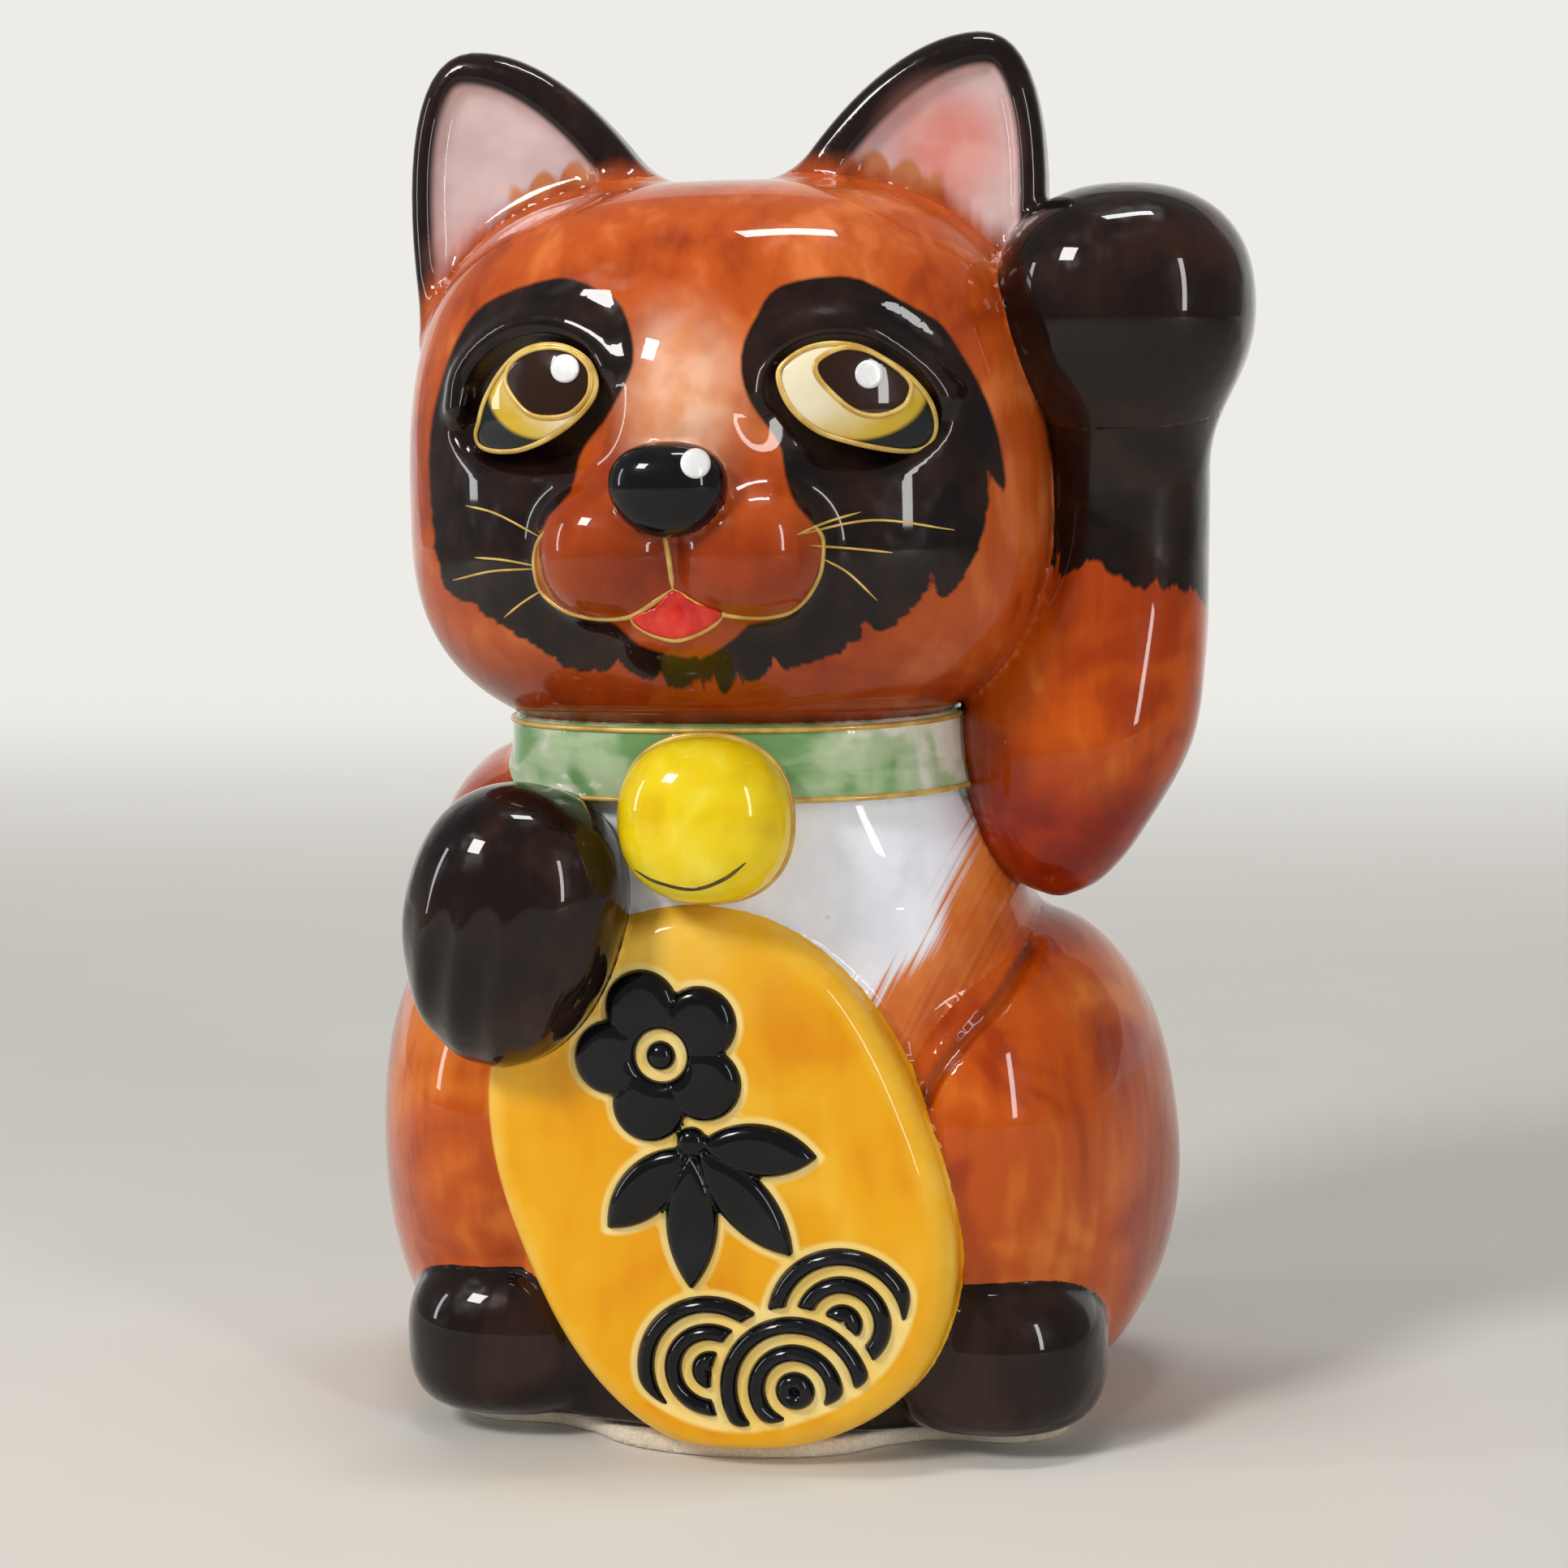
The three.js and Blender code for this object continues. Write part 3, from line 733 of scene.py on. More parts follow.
class Shader:
    """One material and its nodes."""

    def __init__(self, name: str) -> None:
        """Starts a material with its shader and output.

        Args:
            name: The material's name.
        """
        self.material = bpy.data.materials.new(name)
        self.material.use_nodes = True
        self.tree = self.material.node_tree
        self.tree.nodes.clear()
        self.surface = self.node("ShaderNodeBsdfPrincipled", {}, {})
        self.output = self.node("ShaderNodeOutputMaterial", {}, {"Surface": self.surface.outputs[0]})
        self.place = self.node("ShaderNodeTexCoord", {}, {}).outputs["Object"]

    def node(self, kind: str, settings: dict[str, object], inputs: dict[str | int, object]) -> bpy.types.Node:
        """Adds a node.

        Args:
            kind: Its type.
            settings: Its own settings, set first.
            inputs: The values or links of its sockets.

        Returns:
            The node.
        """
        made = self.tree.nodes.new(kind)
        for key, setting in settings.items():
            setattr(made, key, setting)
        for key, given in inputs.items():
            self.feed(made.inputs[key], given)
        return made

    def feed(self, socket: Socket, given: object) -> None:
        """Links a socket to another, or sets its own value.

        Args:
            socket: The socket.
            given: The other socket, or the value.
        """
        if isinstance(given, Value):
            given = given.socket
        if isinstance(given, Socket):
            self.tree.links.new(given, socket)
        elif isinstance(given, tuple) and socket.type == "RGBA":
            socket.default_value = (*given, 1)
        else:
            socket.default_value = given

    def attribute(self, name: str) -> Value:
        """Reads a number that was painted on the mesh."""
        node = self.node("ShaderNodeAttribute", {"attribute_name": name}, {})
        return Value(self, node.outputs["Fac"])

    def noise(
        self, grain: float, detail: float = 3.0, stretch: Place = (1, 1, 1), sway: float = 0.0
    ) -> Value:
        """Adds cloudy noise.

        Args:
            grain: Size of its clouds in millimetres.
            detail: How many finer layers it has.
            stretch: How much longer the clouds are along each axis.
            sway: How much they are pulled about.

        Returns:
            The noise, about 0.5 on average.
        """
        scale = tuple(1 / (grain * MM * s) for s in stretch)
        spot = self.node("ShaderNodeVectorMath", {"operation": "MULTIPLY"}, {0: self.place, 1: scale})
        inputs = {"Vector": spot.outputs[0], "Scale": 1.0, "Detail": detail, "Distortion": sway}
        return Value(self, self.node("ShaderNodeTexNoise", {}, inputs).outputs[0])

    def strokes(self, run: Value, width: float, detail: float = 3.0) -> Value:
        """Adds noise that changes only along an edge, as the hairs of a brush leave it."""
        inputs = {"W": run * (1 / width), "Scale": 1.0, "Detail": detail}
        return Value(self, self.node("ShaderNodeTexNoise", {"noise_dimensions": "1D"}, inputs).outputs[0])

    def mix(self, share: Value | float, first: object, second: object) -> Socket:
        """Mixes two colours."""
        settings = {"data_type": "RGBA", "clamp_factor": True}
        return self.node("ShaderNodeMix", settings, {0: share, 6: first, 7: second}).outputs[2]

    def finish(self, inputs: dict[str, object]) -> Material:
        """Feeds the shader and hands over the material.

        Args:
            inputs: The values or links of its sockets.

        Returns:
            The material.
        """
        for key, given in inputs.items():
            self.feed(self.surface.inputs[key], given)
        return self.material

    def backlit(self, share: Value, tone: Colour) -> None:
        """Shows a plain light by a share, to the eye and in reflections only.

        Args:
            share: How much of it shows.
            tone: Its colour.
        """
        rays = self.node("ShaderNodeLightPath", {}, {}).outputs
        seen = sum(Value(self, rays[f"Is {kind} Ray"]) for kind in ("Camera", "Glossy", "Transmission"))
        light = self.node("ShaderNodeEmission", {}, {"Color": tone, "Strength": 1.0})
        sides = {0: share * seen, 1: self.surface.outputs[0], 2: light.outputs[0]}
        self.feed(self.output.inputs["Surface"], self.node("ShaderNodeMixShader", {}, sides).outputs[0])

    def ripple(self, height: Value, depth: float) -> Socket:
        """Makes the normal of a skin that waves by some depth in millimetres."""
        inputs = {"Height": height, "Distance": depth * MM, "Strength": 1.0}
        return self.node("ShaderNodeBump", {}, inputs).outputs[0]


@dataclass(frozen=True)
class Zone:
    """A painted area, from a distance to its edge in millimetres that the mesh carries."""

    name: str
    thin: Colour
    thick: Colour
    feather: float = 0.0  # how far brush hairs run past the edge
    hair: float = 1.0  # width of a brush hair
    soft: float = 0.35  # blur of the edge
    cloud: float = 6.0  # size of the thick and thin places
    tones: Pair = (0.35, 0.7)  # noise from all thick to all thin

    def cover(self, shader: Shader, under: object) -> Socket:
        """Lays this paint over a colour.

        Args:
            shader: The shader that it belongs to.
            under: The colour under it.

        Returns:
            The covered colour.
        """
        edge = shader.attribute(self.name)
        if self.feather:
            hairs = shader.strokes(shader.attribute(f"{self.name}_run"), self.hair)
            length = shader.attribute(f"{self.name}_hair") * (2 * self.feather)
            edge = edge + (hairs - NOISE_MIDDLE) * length
        share = edge.between(self.soft, -self.soft)
        clouds = shader.noise(self.cloud, detail=4)
        body = shader.mix(clouds.between(*self.tones), self.thick, self.thin)
        return shader.mix(share, under, body)


@dataclass(frozen=True)
class Glaze:
    """A brushed glaze: two or three tones, brush marks, and painted areas under one clear gloss."""

    name: str
    deep: Colour
    body: Colour
    light: Colour
    cloud: float = 20.0  # size of the clouds in the colour
    brush: Place = (1.0, 1.0, 6.0)  # how long the brush marks are along each axis
    mark: float = 2.8  # width of a brush mark
    zones: tuple[Zone, ...] = ()
    roughness: float = 0.28
    gloss: float = 1.0
    wave: float = 0.9  # unevenness of the skin
    swell: float = 8.0  # size of its waves
    spread: float = 0.15  # how far the noise has to go for a whole tone
    middle: float = 0.51  # where the noise gives the middle tone
    cloud_share: float = 0.78  # the rest is brush marks
    rough_range: float = 0.2
    slot: str = ""

    def material(self) -> Material:
        """Builds the glaze.

        Returns:
            The material.
        """
        shader = Shader(self.name)
        clouds = shader.noise(self.cloud, detail=2.5, sway=0.8)
        marks = shader.noise(self.mark, stretch=self.brush, sway=0.4)
        tone = clouds * self.cloud_share + marks * (1 - self.cloud_share)
        colour = shader.mix(tone.between(self.middle - self.spread, self.middle), self.deep, self.body)
        colour = shader.mix(tone.between(self.middle, self.middle + self.spread), colour, self.light)
        for zone in self.zones:
            colour = zone.cover(shader, colour)
        swell = shader.noise(self.swell, detail=2)
        inputs = {
            "Coat Weight": self.gloss, "Coat Roughness": 0.03, "Coat IOR": 1.34, "Specular IOR Level": 0.05,
            "Base Color": colour,
            "Roughness": self.roughness + (marks - NOISE_MIDDLE) * self.rough_range,
            "Normal": shader.ripple(swell, self.wave),
        }
        return shader.finish(inputs)


@dataclass(frozen=True)
class Enamel:
    """A small glossy paint: raised dots, lines and the tongue."""

    name: str
    body: Colour
    shade: Colour
    metallic: float = 0.0
    roughness: float = 0.22
    rough_range: float = 0.25
    grain: float = 3.0
    tones: Pair = (0.35, 0.68)  # noise from all shade to all body
    gloss: float = 0.6
    wave: float = 0.05
    swell: float = 1.2
    slot: str = ""

    def material(self) -> Material:
        """Builds the enamel.

        Returns:
            The material.
        """
        shader = Shader(self.name)
        clouds = shader.noise(self.grain, detail=4)
        inputs = {
            "Metallic": self.metallic, "Coat Weight": self.gloss, "Coat Roughness": 0.05, "Coat IOR": 1.36,
            "Specular IOR Level": 0.2,
            "Base Color": shader.mix(clouds.between(*self.tones), self.shade, self.body),
            "Roughness": self.roughness + (clouds - NOISE_MIDDLE) * self.rough_range,
            "Normal": shader.ripple(shader.noise(self.swell, detail=2), self.wave),
        }
        return shader.finish(inputs)


@dataclass(frozen=True)
class Plain:
    """A dull body: bare fired clay or rubber, with grain and small pits."""

    name: str
    body: Colour
    shade: Colour
    grain: float = 0.5
    patch: float = 11.0  # size of its paler places
    tones: Pair = (0.36, 0.64)  # noise from all shade to all body
    pit: float = 0.12
    roughness: float = 0.75
    rough_range: float = 0.3
    slot: str = ""

    def material(self) -> Material:
        """Builds the finish.

        Returns:
            The material.
        """
        shader = Shader(self.name)
        fine = shader.noise(self.grain, detail=4)
        tone = (fine + shader.noise(self.patch)) * 0.5
        inputs = {
            "Base Color": shader.mix(tone.between(*self.tones), self.shade, self.body),
            "Roughness": self.roughness + (fine - NOISE_MIDDLE) * self.rough_range,
            "Normal": shader.ripple(fine, self.pit),
        }
        return shader.finish(inputs)


@dataclass(frozen=True)
class EyeGlaze:
    """The painted eye: a cream and amber ball, a dark iris with a painted reflection low in it, and a dark
    corner.
    """

    name: str = "eye_glaze"
    amber: Colour = srgb(206, 170, 44)
    cream: Colour = srgb(233, 222, 190)
    corner: Colour = srgb(14, 22, 24)
    iris: Colour = srgb(44, 22, 14)
    # a painted reflection low in the iris
    iris_low: Colour = srgb(84, 56, 42)
    cloud: float = 5.0
    low_share: float = 0.45  # how much the amber gathers low on the eye
    aside_share: float = 0.5  # and at its outer side
    cloud_share: float = 0.6
    ball_tones: Pair = (0.2, 0.85)  # from all cream to all amber
    ball_edge: float = 0.35
    iris_cloud: float = 0.8
    iris_tones: Pair = (0.35, 1.1)
    iris_edge: float = 0.15
    wave: float = 0.3
    swell: float = 7.0
    slot: str = "eye_glaze"

    def material(self) -> Material:
        """Builds the eye's paint.

        Returns:
            The material.
        """
        shader = Shader(self.name)
        clouds = shader.noise(self.cloud, detail=4)
        names = ("ball", "iris", "low", "aside")
        ball, iris, low, aside = (shader.attribute(name) for name in names)
        warm = low * self.low_share + aside * self.aside_share + clouds * self.cloud_share
        colour = shader.mix(warm.between(*self.ball_tones), self.cream, self.amber)
        colour = shader.mix(ball.between(-self.ball_edge, self.ball_edge), colour, self.corner)
        # the painted reflection gathers low in the iris
        depth = low + (clouds - NOISE_MIDDLE) * self.iris_cloud
        pupil = shader.mix(depth.between(*self.iris_tones), self.iris, self.iris_low)
        inputs = {
            "Coat Weight": 1.0, "Coat Roughness": 0.03, "Coat IOR": 1.36, "Roughness": 0.25,
            "Specular IOR Level": 0.06,
            "Base Color": shader.mix(iris.between(self.iris_edge, -self.iris_edge), colour, pupil),
            "Normal": shader.ripple(shader.noise(self.swell, detail=2), self.wave),
        }
        return shader.finish(inputs)


Finish = Glaze | Enamel | Plain | EyeGlaze

BLACK_THIN, BLACK_THICK = srgb(40, 22, 16), srgb(16, 9, 8)
WHITE_THIN, WHITE_THICK = srgb(231, 234, 246), srgb(241, 243, 253)
BROWN = {"deep": srgb(156, 53, 5), "body": srgb(188, 79, 10), "light": srgb(214, 115, 36)}
# painted shade for the low parts of the head
LOW_SHADE_THIN, LOW_SHADE_THICK = srgb(146, 50, 8), srgb(116, 34, 4)

# painted shade along the crease between the belly and the haunch
CREASE_SHADE = Zone("crease", srgb(110, 38, 8), srgb(84, 26, 6), soft=0.8)

HEAD_GLAZE = Glaze(
    "head_glaze", srgb(150, 54, 12), srgb(182, 78, 24), srgb(210, 112, 54), slot="brown_glaze",
    zones=(
        # painted shade low on the head and round the lips
        Zone("pool", LOW_SHADE_THIN, LOW_SHADE_THICK, soft=9.0),
        # painted highlight on the bridge of the nose
        Zone("glow", srgb(242, 190, 160), srgb(226, 152, 108), soft=5.0),
        Zone("mask", BLACK_THIN, BLACK_THICK, feather=0.8, hair=2.2, soft=0.3),
    ),
)
TORSO_GLAZE = Glaze(
    "torso_glaze", **BROWN, slot="brown_glaze",
    zones=(
        Zone("belly", srgb(222, 128, 62), srgb(206, 104, 36), feather=6.0, hair=0.9, soft=5.0),
        Zone("chest", WHITE_THIN, WHITE_THICK, feather=3.4, hair=0.8, soft=1.4),
        CREASE_SHADE,
        Zone("sole", BLACK_THIN, BLACK_THICK, soft=0.6),
        Zone("inside", srgb(232, 222, 206), srgb(216, 204, 184), soft=0.6),
    ),
)
SLEEVE_GLAZE = Glaze(
    "sleeve_glaze", **BROWN, slot="brown_glaze",
    zones=(
        # painted shade low on the raised arm, towards the elbow
        Zone("pool", srgb(152, 42, 4), srgb(124, 26, 2), soft=7.0),
        Zone("sleeve", BLACK_THIN, BLACK_THICK, feather=6.0, hair=4.4, soft=0.4),
    ),
)
BROWN_GLAZE = Glaze("brown_glaze", **BROWN, slot="brown_glaze")
THIGH_GLAZE = Glaze("thigh_glaze", **BROWN, slot="brown_glaze", zones=(CREASE_SHADE,))
BLACK_GLAZE = Glaze(
    "black_glaze", srgb(15, 8, 7), srgb(26, 14, 11), srgb(46, 26, 18), slot="black_glaze", wave=1.3,
)
INK_GLAZE = Glaze(
    "ink_glaze", srgb(5, 6, 9), srgb(9, 10, 14), srgb(18, 20, 27), slot="black_glaze", wave=0.5,
)
EAR_GLAZE = Glaze(
    "ear_glaze", srgb(18, 10, 9), srgb(30, 17, 14), srgb(52, 30, 22), slot="black_glaze",
    zones=(
        Zone("inner", srgb(216, 190, 188), srgb(204, 180, 182), soft=0.5),
        Zone("blush", srgb(218, 156, 146), srgb(212, 132, 120), soft=4.5),
        Zone("dabs", srgb(204, 146, 108), srgb(190, 120, 78), soft=0.6),
        Zone("root", srgb(178, 84, 36), srgb(150, 60, 20), feather=2.0, hair=5.0, soft=1.8),
    ),
)
GOLD_GLAZE = Glaze(
    "gold_glaze", srgb(226, 144, 4), srgb(236, 166, 14), srgb(242, 184, 46), slot="gold_glaze",
    cloud=24, mark=5, roughness=0.34, gloss=0.7, wave=0.4,
    zones=(
        # the top of the plate made paler: painted light from above, and thinner glaze
        Zone("crest", srgb(250, 208, 92), srgb(246, 194, 58), soft=11.0),
        # painted highlight along the rim of the plate
        Zone("rim", srgb(246, 196, 74), srgb(242, 182, 40), soft=1.4),
        Zone("halo", srgb(252, 226, 150), srgb(250, 214, 116), soft=0.35),
    ),
)
YELLOW_GLAZE = Glaze(
    "yellow_glaze", srgb(226, 188, 12), srgb(238, 208, 20), srgb(245, 226, 72), slot="yellow_glaze",
    cloud=12, mark=3,
)
GREEN_GLAZE = Glaze(
    "green_glaze", srgb(106, 150, 92), srgb(168, 190, 150), srgb(222, 220, 206), slot="green_glaze",
    cloud=15, mark=3, brush=(3.0, 3.0, 1.0), spread=0.11,
)
GOLD_LINE = Enamel("gold_line", srgb(218, 186, 104), srgb(192, 152, 70), metallic=0.2, roughness=0.36)
WHITE_DOT = Enamel("white_dot", srgb(240, 240, 240), srgb(222, 224, 226))
DARK_LINE = Enamel("dark_line", srgb(92, 78, 28), srgb(58, 48, 18))
RED_ENAMEL = Enamel("red_enamel", srgb(222, 62, 46), srgb(188, 30, 26))
BISQUE = Plain("bisque", srgb(236, 226, 210), srgb(214, 200, 178), slot="bisque")
RUBBER = Plain(
    "stopper_rubber", srgb(66, 66, 70), srgb(46, 46, 50), slot="stopper_rubber", grain=0.8, pit=0.06,
)


class Workbench:
    """Where pieces are made: the clay, the camera, the fineness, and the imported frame's place."""

    quick_coarse = 2.2
    bead_sides = 10
    bead_taper = 3  # points over which the end of an open line thins out
    bead_tip = 0.08
    patch_pitch = 0.3
    patch_edge = 1.2  # rounding of a patch's edge, in its own heights
    patch_sink = 0.8  # how far a patch runs on under the skin

    def __init__(self) -> None:
        """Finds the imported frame's shift from the stopper, which stands on the figure's middle line."""
        low, high = (np.array(corner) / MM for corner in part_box("stopper"))
        self.shift = np.array([0, Stopper.y, 0]) - (low + high) / 2 * (1, 1, 0)
        self.clay = Clay()
        self.camera = PhotoCamera()
        self.coarse = 1.0
        self.materials: dict[str, Material] = {}

    def make(
        self,
        name: str,
        points: Array,
        faces: Sequence[Sequence[int]] | Array,
        finish: Finish,
        nodes: Sequence[str] = (),
        normals: Array | None = None,
        paint: Paint | None = None,
        body: str = "figure",
    ) -> Piece:
        """Makes one piece from points and faces.

        Args:
            name: The piece's name.
            points: Its points.
            faces: Its faces.
            finish: Its finish.
            nodes: The CAD nodes that it stands for.
            normals: Each point's outward direction, where it is known.
            paint: Numbers on its points for painted areas, by name.
            body: The CAD body that it rides on.

        Returns:
            The piece.
        """
        mesh = bpy.data.meshes.new(name)
        corners = faces.tolist() if isinstance(faces, np.ndarray) else faces
        mesh.from_pydata(((points - self.shift) * MM).tolist(), [], corners)
        for key, numbers in (paint or {}).items():
            layer = mesh.attributes.new(key, "FLOAT", "POINT")
            layer.data.foreach_set("value", np.ascontiguousarray(numbers, np.float32))
        mesh.shade_smooth()
        if normals is not None:
            mesh.normals_split_custom_set_from_vertices(normals.tolist())
        piece = bpy.data.objects.new(name, mesh)
        bpy.context.scene.collection.objects.link(piece)
        if finish.name not in self.materials:
            self.materials[finish.name] = finish.material()
        mesh.materials.append(self.materials[finish.name])
        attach(piece, body)
        if nodes:
            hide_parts(*nodes)
        log.info("%s: %d faces", name, len(faces))
        return piece

    def cast(
        self,
        name: str,
        shape: Field,
        finish: Finish,
        nodes: Sequence[str],
        pitch: float = 0.85,
        paint: Callable[[Array, Array], Paint] | None = None,
        stands_for: bool = True,
        margin: float = 3.0,
    ) -> Piece:
        """Makes one piece from a field.

        Args:
            name: The piece's name.
            shape: Its field.
            finish: Its finish.
            nodes: The CAD nodes round which it lies.
            pitch: Size of its faces.
            paint: What gives the numbers for its painted areas from points and their directions.
            stands_for: Whether it stands for those nodes.
            margin: Room round them in which its skin may lie.

        Returns:
            The piece.
        """
        boxes = np.array([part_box(node) for node in nodes]) / MM + self.shift
        low, high = boxes[:, 0].min(0) - margin, boxes[:, 1].max(0) + margin
        points, faces, normals = Net(pitch * self.coarse).lay(shape, low, high)
        painted = paint(points, normals) if paint else None
        return self.make(name, points, faces, finish, nodes if stands_for else (), normals, painted)

    def bead(
        self, line: Array, normals: Array, half: float, height: float, closed: bool
    ) -> tuple[Array, Array]:
        """Makes a raised line of enamel on a skin.

        Args:
            line: Points on the skin.
            normals: The skin's outward direction at each.
            half: Half the line's width.
            height: How far it stands out.
            closed: Whether it returns to its start.

        Returns:
            Its points and faces.
        """
        ahead = np.roll(line, -1, 0) - np.roll(line, 1, 0)
        if not closed:
            ahead[0], ahead[-1] = line[1] - line[0], line[-1] - line[-2]
        across = np.cross(ahead, normals)
        across /= np.linalg.norm(across, axis=1, keepdims=True) + TINY
        around = self.bead_sides
        angles = np.linspace(0, 2 * math.pi, around, endpoint=False)
        size = np.ones((len(line), 1))
        if not closed:
            order = np.arange(len(line))
            from_end = np.minimum(order, order[::-1])[:, None]
            size = np.sqrt(np.clip(from_end / self.bead_taper, self.bead_tip, 1))
        wide, high = size * half * across, size * height * normals
        rings = [line + math.cos(a) * wide + math.sin(a) * high for a in angles]
        points = np.stack(rings, axis=1).reshape(-1, 3)
        rows = np.arange(len(line) if closed else len(line) - 1)
        faces = []
        for column in range(around):
            beside = (column + 1) % around
            here, after = around * rows, around * ((rows + 1) % len(line))
            faces.append(np.stack([here + column, here + beside, after + beside, after + column], axis=1))
        return points, np.concatenate(faces)

    def beads(
        self,
        name: str,
        lines: Sequence[tuple[Array, Array, bool]],
        half: float,
        height: float,
        finish: Finish,
    ) -> Piece:
        """Makes one piece of several raised lines.

        Args:
            name: The piece's name.
            lines: Each line's points, its skin's outward directions, and whether it is closed.
            half: Half the lines' width.
            height: How far they stand out.
            finish: Their finish.

        Returns:
            The piece.
        """
        points, faces, count = [], [], 0
        for line, normals, closed in lines:
            ring, quads = self.bead(line, normals, half, height, closed)
            points.append(ring)
            faces.append(quads + count)
            count += len(ring)
        return self.make(name, np.concatenate(points), np.concatenate(faces), finish)

    def drawn(
        self, shape: Field, pixels: Pixels, closed: bool = False, cuts: int = 5
    ) -> tuple[Array, Array, bool]:
        """Lays a line of the photograph on a skin.

        Args:
            shape: The skin's field.
            pixels: The line's pixels.
            closed: Whether it returns to its start.
            cuts: Steps between two pixels.

        Returns:
            Its points, the skin's outward directions there, and whether it is closed.
        """
        line = self.camera.hit(shape, smoothed(pixels, closed, cuts))
        return line, slope(shape, line), closed

    def patch(
        self, name: str, skin: Field, outline: Array, proud: float, finish: Finish, nodes: Sequence[str]
    ) -> Piece:
        """Makes a thin raised patch of enamel on a skin.

        Args:
            name: The piece's name.
            skin: The field of the skin that it lies on.
            outline: Its outline on the photograph.
            proud: How far it stands out.
            finish: Its finish.
            nodes: The CAD nodes round which it lies.

        Returns:
            The piece.
        """
        prism = self.camera.prism(outline)

        def measure(points: Array) -> Array:
            """Measures points against the patch.

            Args:
                points: The points.

            Returns:
                Their distances, negative inside.
            """
            over = skin(points)
            lens = carved(prism(points), over - proud, self.patch_edge * proud)
            return np.maximum(lens, -over - self.patch_sink)

        return self.cast(name, measure, finish, nodes, pitch=self.patch_pitch, stands_for=False)


@dataclass
class Trunk:
    """The hollow body with its coin slot, the tail, and the unglazed base plate."""

    sections: tuple[Section, ...] = (
        Section(2.4, 5, 39, 29),
        Section(22.4, 6, 43, 32.5),
        Section(44.4, 5, 42, 32),
        Section(62.4, 2.5, 39.5, 29.5),
        Section(76.4, -2, 34.5, 26),
        Section(88.4, -7, 28, 21.5),
        Section(105.5, -8, 27, 21),
    )
    wall: float = 5.0
    slot_up: float = 69.4
    slot_length: float = 34.0
    slot_height: float = 5.0
    slot_edge: float = 1.5
    inner_edge: float = 1.0
    tail_centre: Place = (0, 38.7, 19.4)
    tail_half: Place = (11, 11, 17)
    tail_lean: float = 16.0
    seat_rim: Oval = (0, 5, 37.5, 27.5)  # middle and half sizes
    foot_rims: tuple[Oval, ...] = (
        (0.4, -19, 17, 7), (33.2, -8.6, 9, 7), (-31.2, -8.6, 9, 7), (33.5, 3.9, 9, 15), (-33.5, 3.9, 9, 15),
    )
    rim_fillet: float = 4.0
    plate_edge: float = 0.7
    hole_radius: float = 15.5
    boss_wall: float = 5.0
    boss_height: float = 9.0
    boss_fillet: float = 1.5
    hole_edge: float = 0.8
    recess_radius: float = 18.8
    recess_height: float = 2.6
    chest_top: float = 91.0
    chest_back: float = 2.0
    belly_reach: float = 7.0  # how far the thin orange glaze runs past the white
    hair_lean: float = 0.5
    sole_run: float = 9.0
    sole_up: float = 13.0
    chest: Pixels = (
        (600, 890), (1205, 890), (1200, 955), (1202, 1002), (1188, 1058), (1164, 1105), (1155, 1153),
        (1131, 1181), (1093, 1209), (1040, 1270), (900, 1300), (760, 1250), (690, 1180), (640, 1090),
        (612, 1000),
    )

    def shape(self, bench: Workbench) -> None:
        """Adds the body and the tail to the clay.

        Args:
            bench: The workbench.
        """
        self.body = Loft(self.sections)
        bench.clay.forms["torso"] = self.body
        bench.clay.forms["tail"] = lump(self.tail_centre, self.tail_half, turned(self.tail_lean))
        bench.clay.join("torso", "tail", reach=3.0)

    def build(self, bench: Workbench) -> None:
        """Makes the body, the tail and the base plate.

        Args:
            bench: The workbench.
        """
        outside = bench.clay.casting("torso")
        chest = bench.camera.prism(smoothed(self.chest, closed=True, cuts=3))

        def hollow(points: Array) -> Array:
            """Measures points against the hollow body with its slot.

            Args:
                points: The points.

            Returns:
                Their distances, negative inside.
            """
            x, y, z = points.T
            run = np.abs(x) - (self.slot_length - self.slot_height) / 2
            slot = np.hypot(np.maximum(run, 0), z - self.slot_up) - self.slot_height / 2
            slot = np.maximum(slot, -y)
            shell = carved(outside(points), -(self.body(points) + self.wall), self.inner_edge)
            return carved(shell, -slot, self.slot_edge)

        def paint(points: Array, normals: Array) -> Paint:
            """Marks the chest, the thin glaze round it, the painted shade in the creases, the black soles and
            the inside.

            Args:
                points: The points.
                normals: Their outward directions; not used.

            Returns:
                The numbers on the points, by name.
            """
            x, y, z = points.T
            edge = np.where((y < self.chest_back) & (z < self.chest_top), chest(points), AWAY)
            run, hair = x - self.hair_lean * z, np.ones(len(points))
            forms = bench.clay.forms
            feet = np.minimum(*(forms[f"{side.word}_foot"](points) for side in Side))
            return {
                "chest": edge,
                "chest_run": run,
                "chest_hair": hair,
                "belly": edge - self.belly_reach,
                "belly_run": run,
                "belly_hair": hair,
                "crease": np.minimum(*(forms[f"{side.word}_crease"](points) for side in Side)),
                "sole": np.maximum(feet - self.sole_run, z - self.sole_up),
                "inside": self.body(points) + self.wall / 2,
            }

        bench.cast("body", hollow, TORSO_GLAZE, ["torso_shell"], pitch=0.95, paint=paint)
        bench.cast("tail_stub", bench.clay.casting("tail"), BLACK_GLAZE, ["tail"])
        bench.cast("foot_rim", self.plate, BISQUE, ["base_plate"], pitch=0.9)

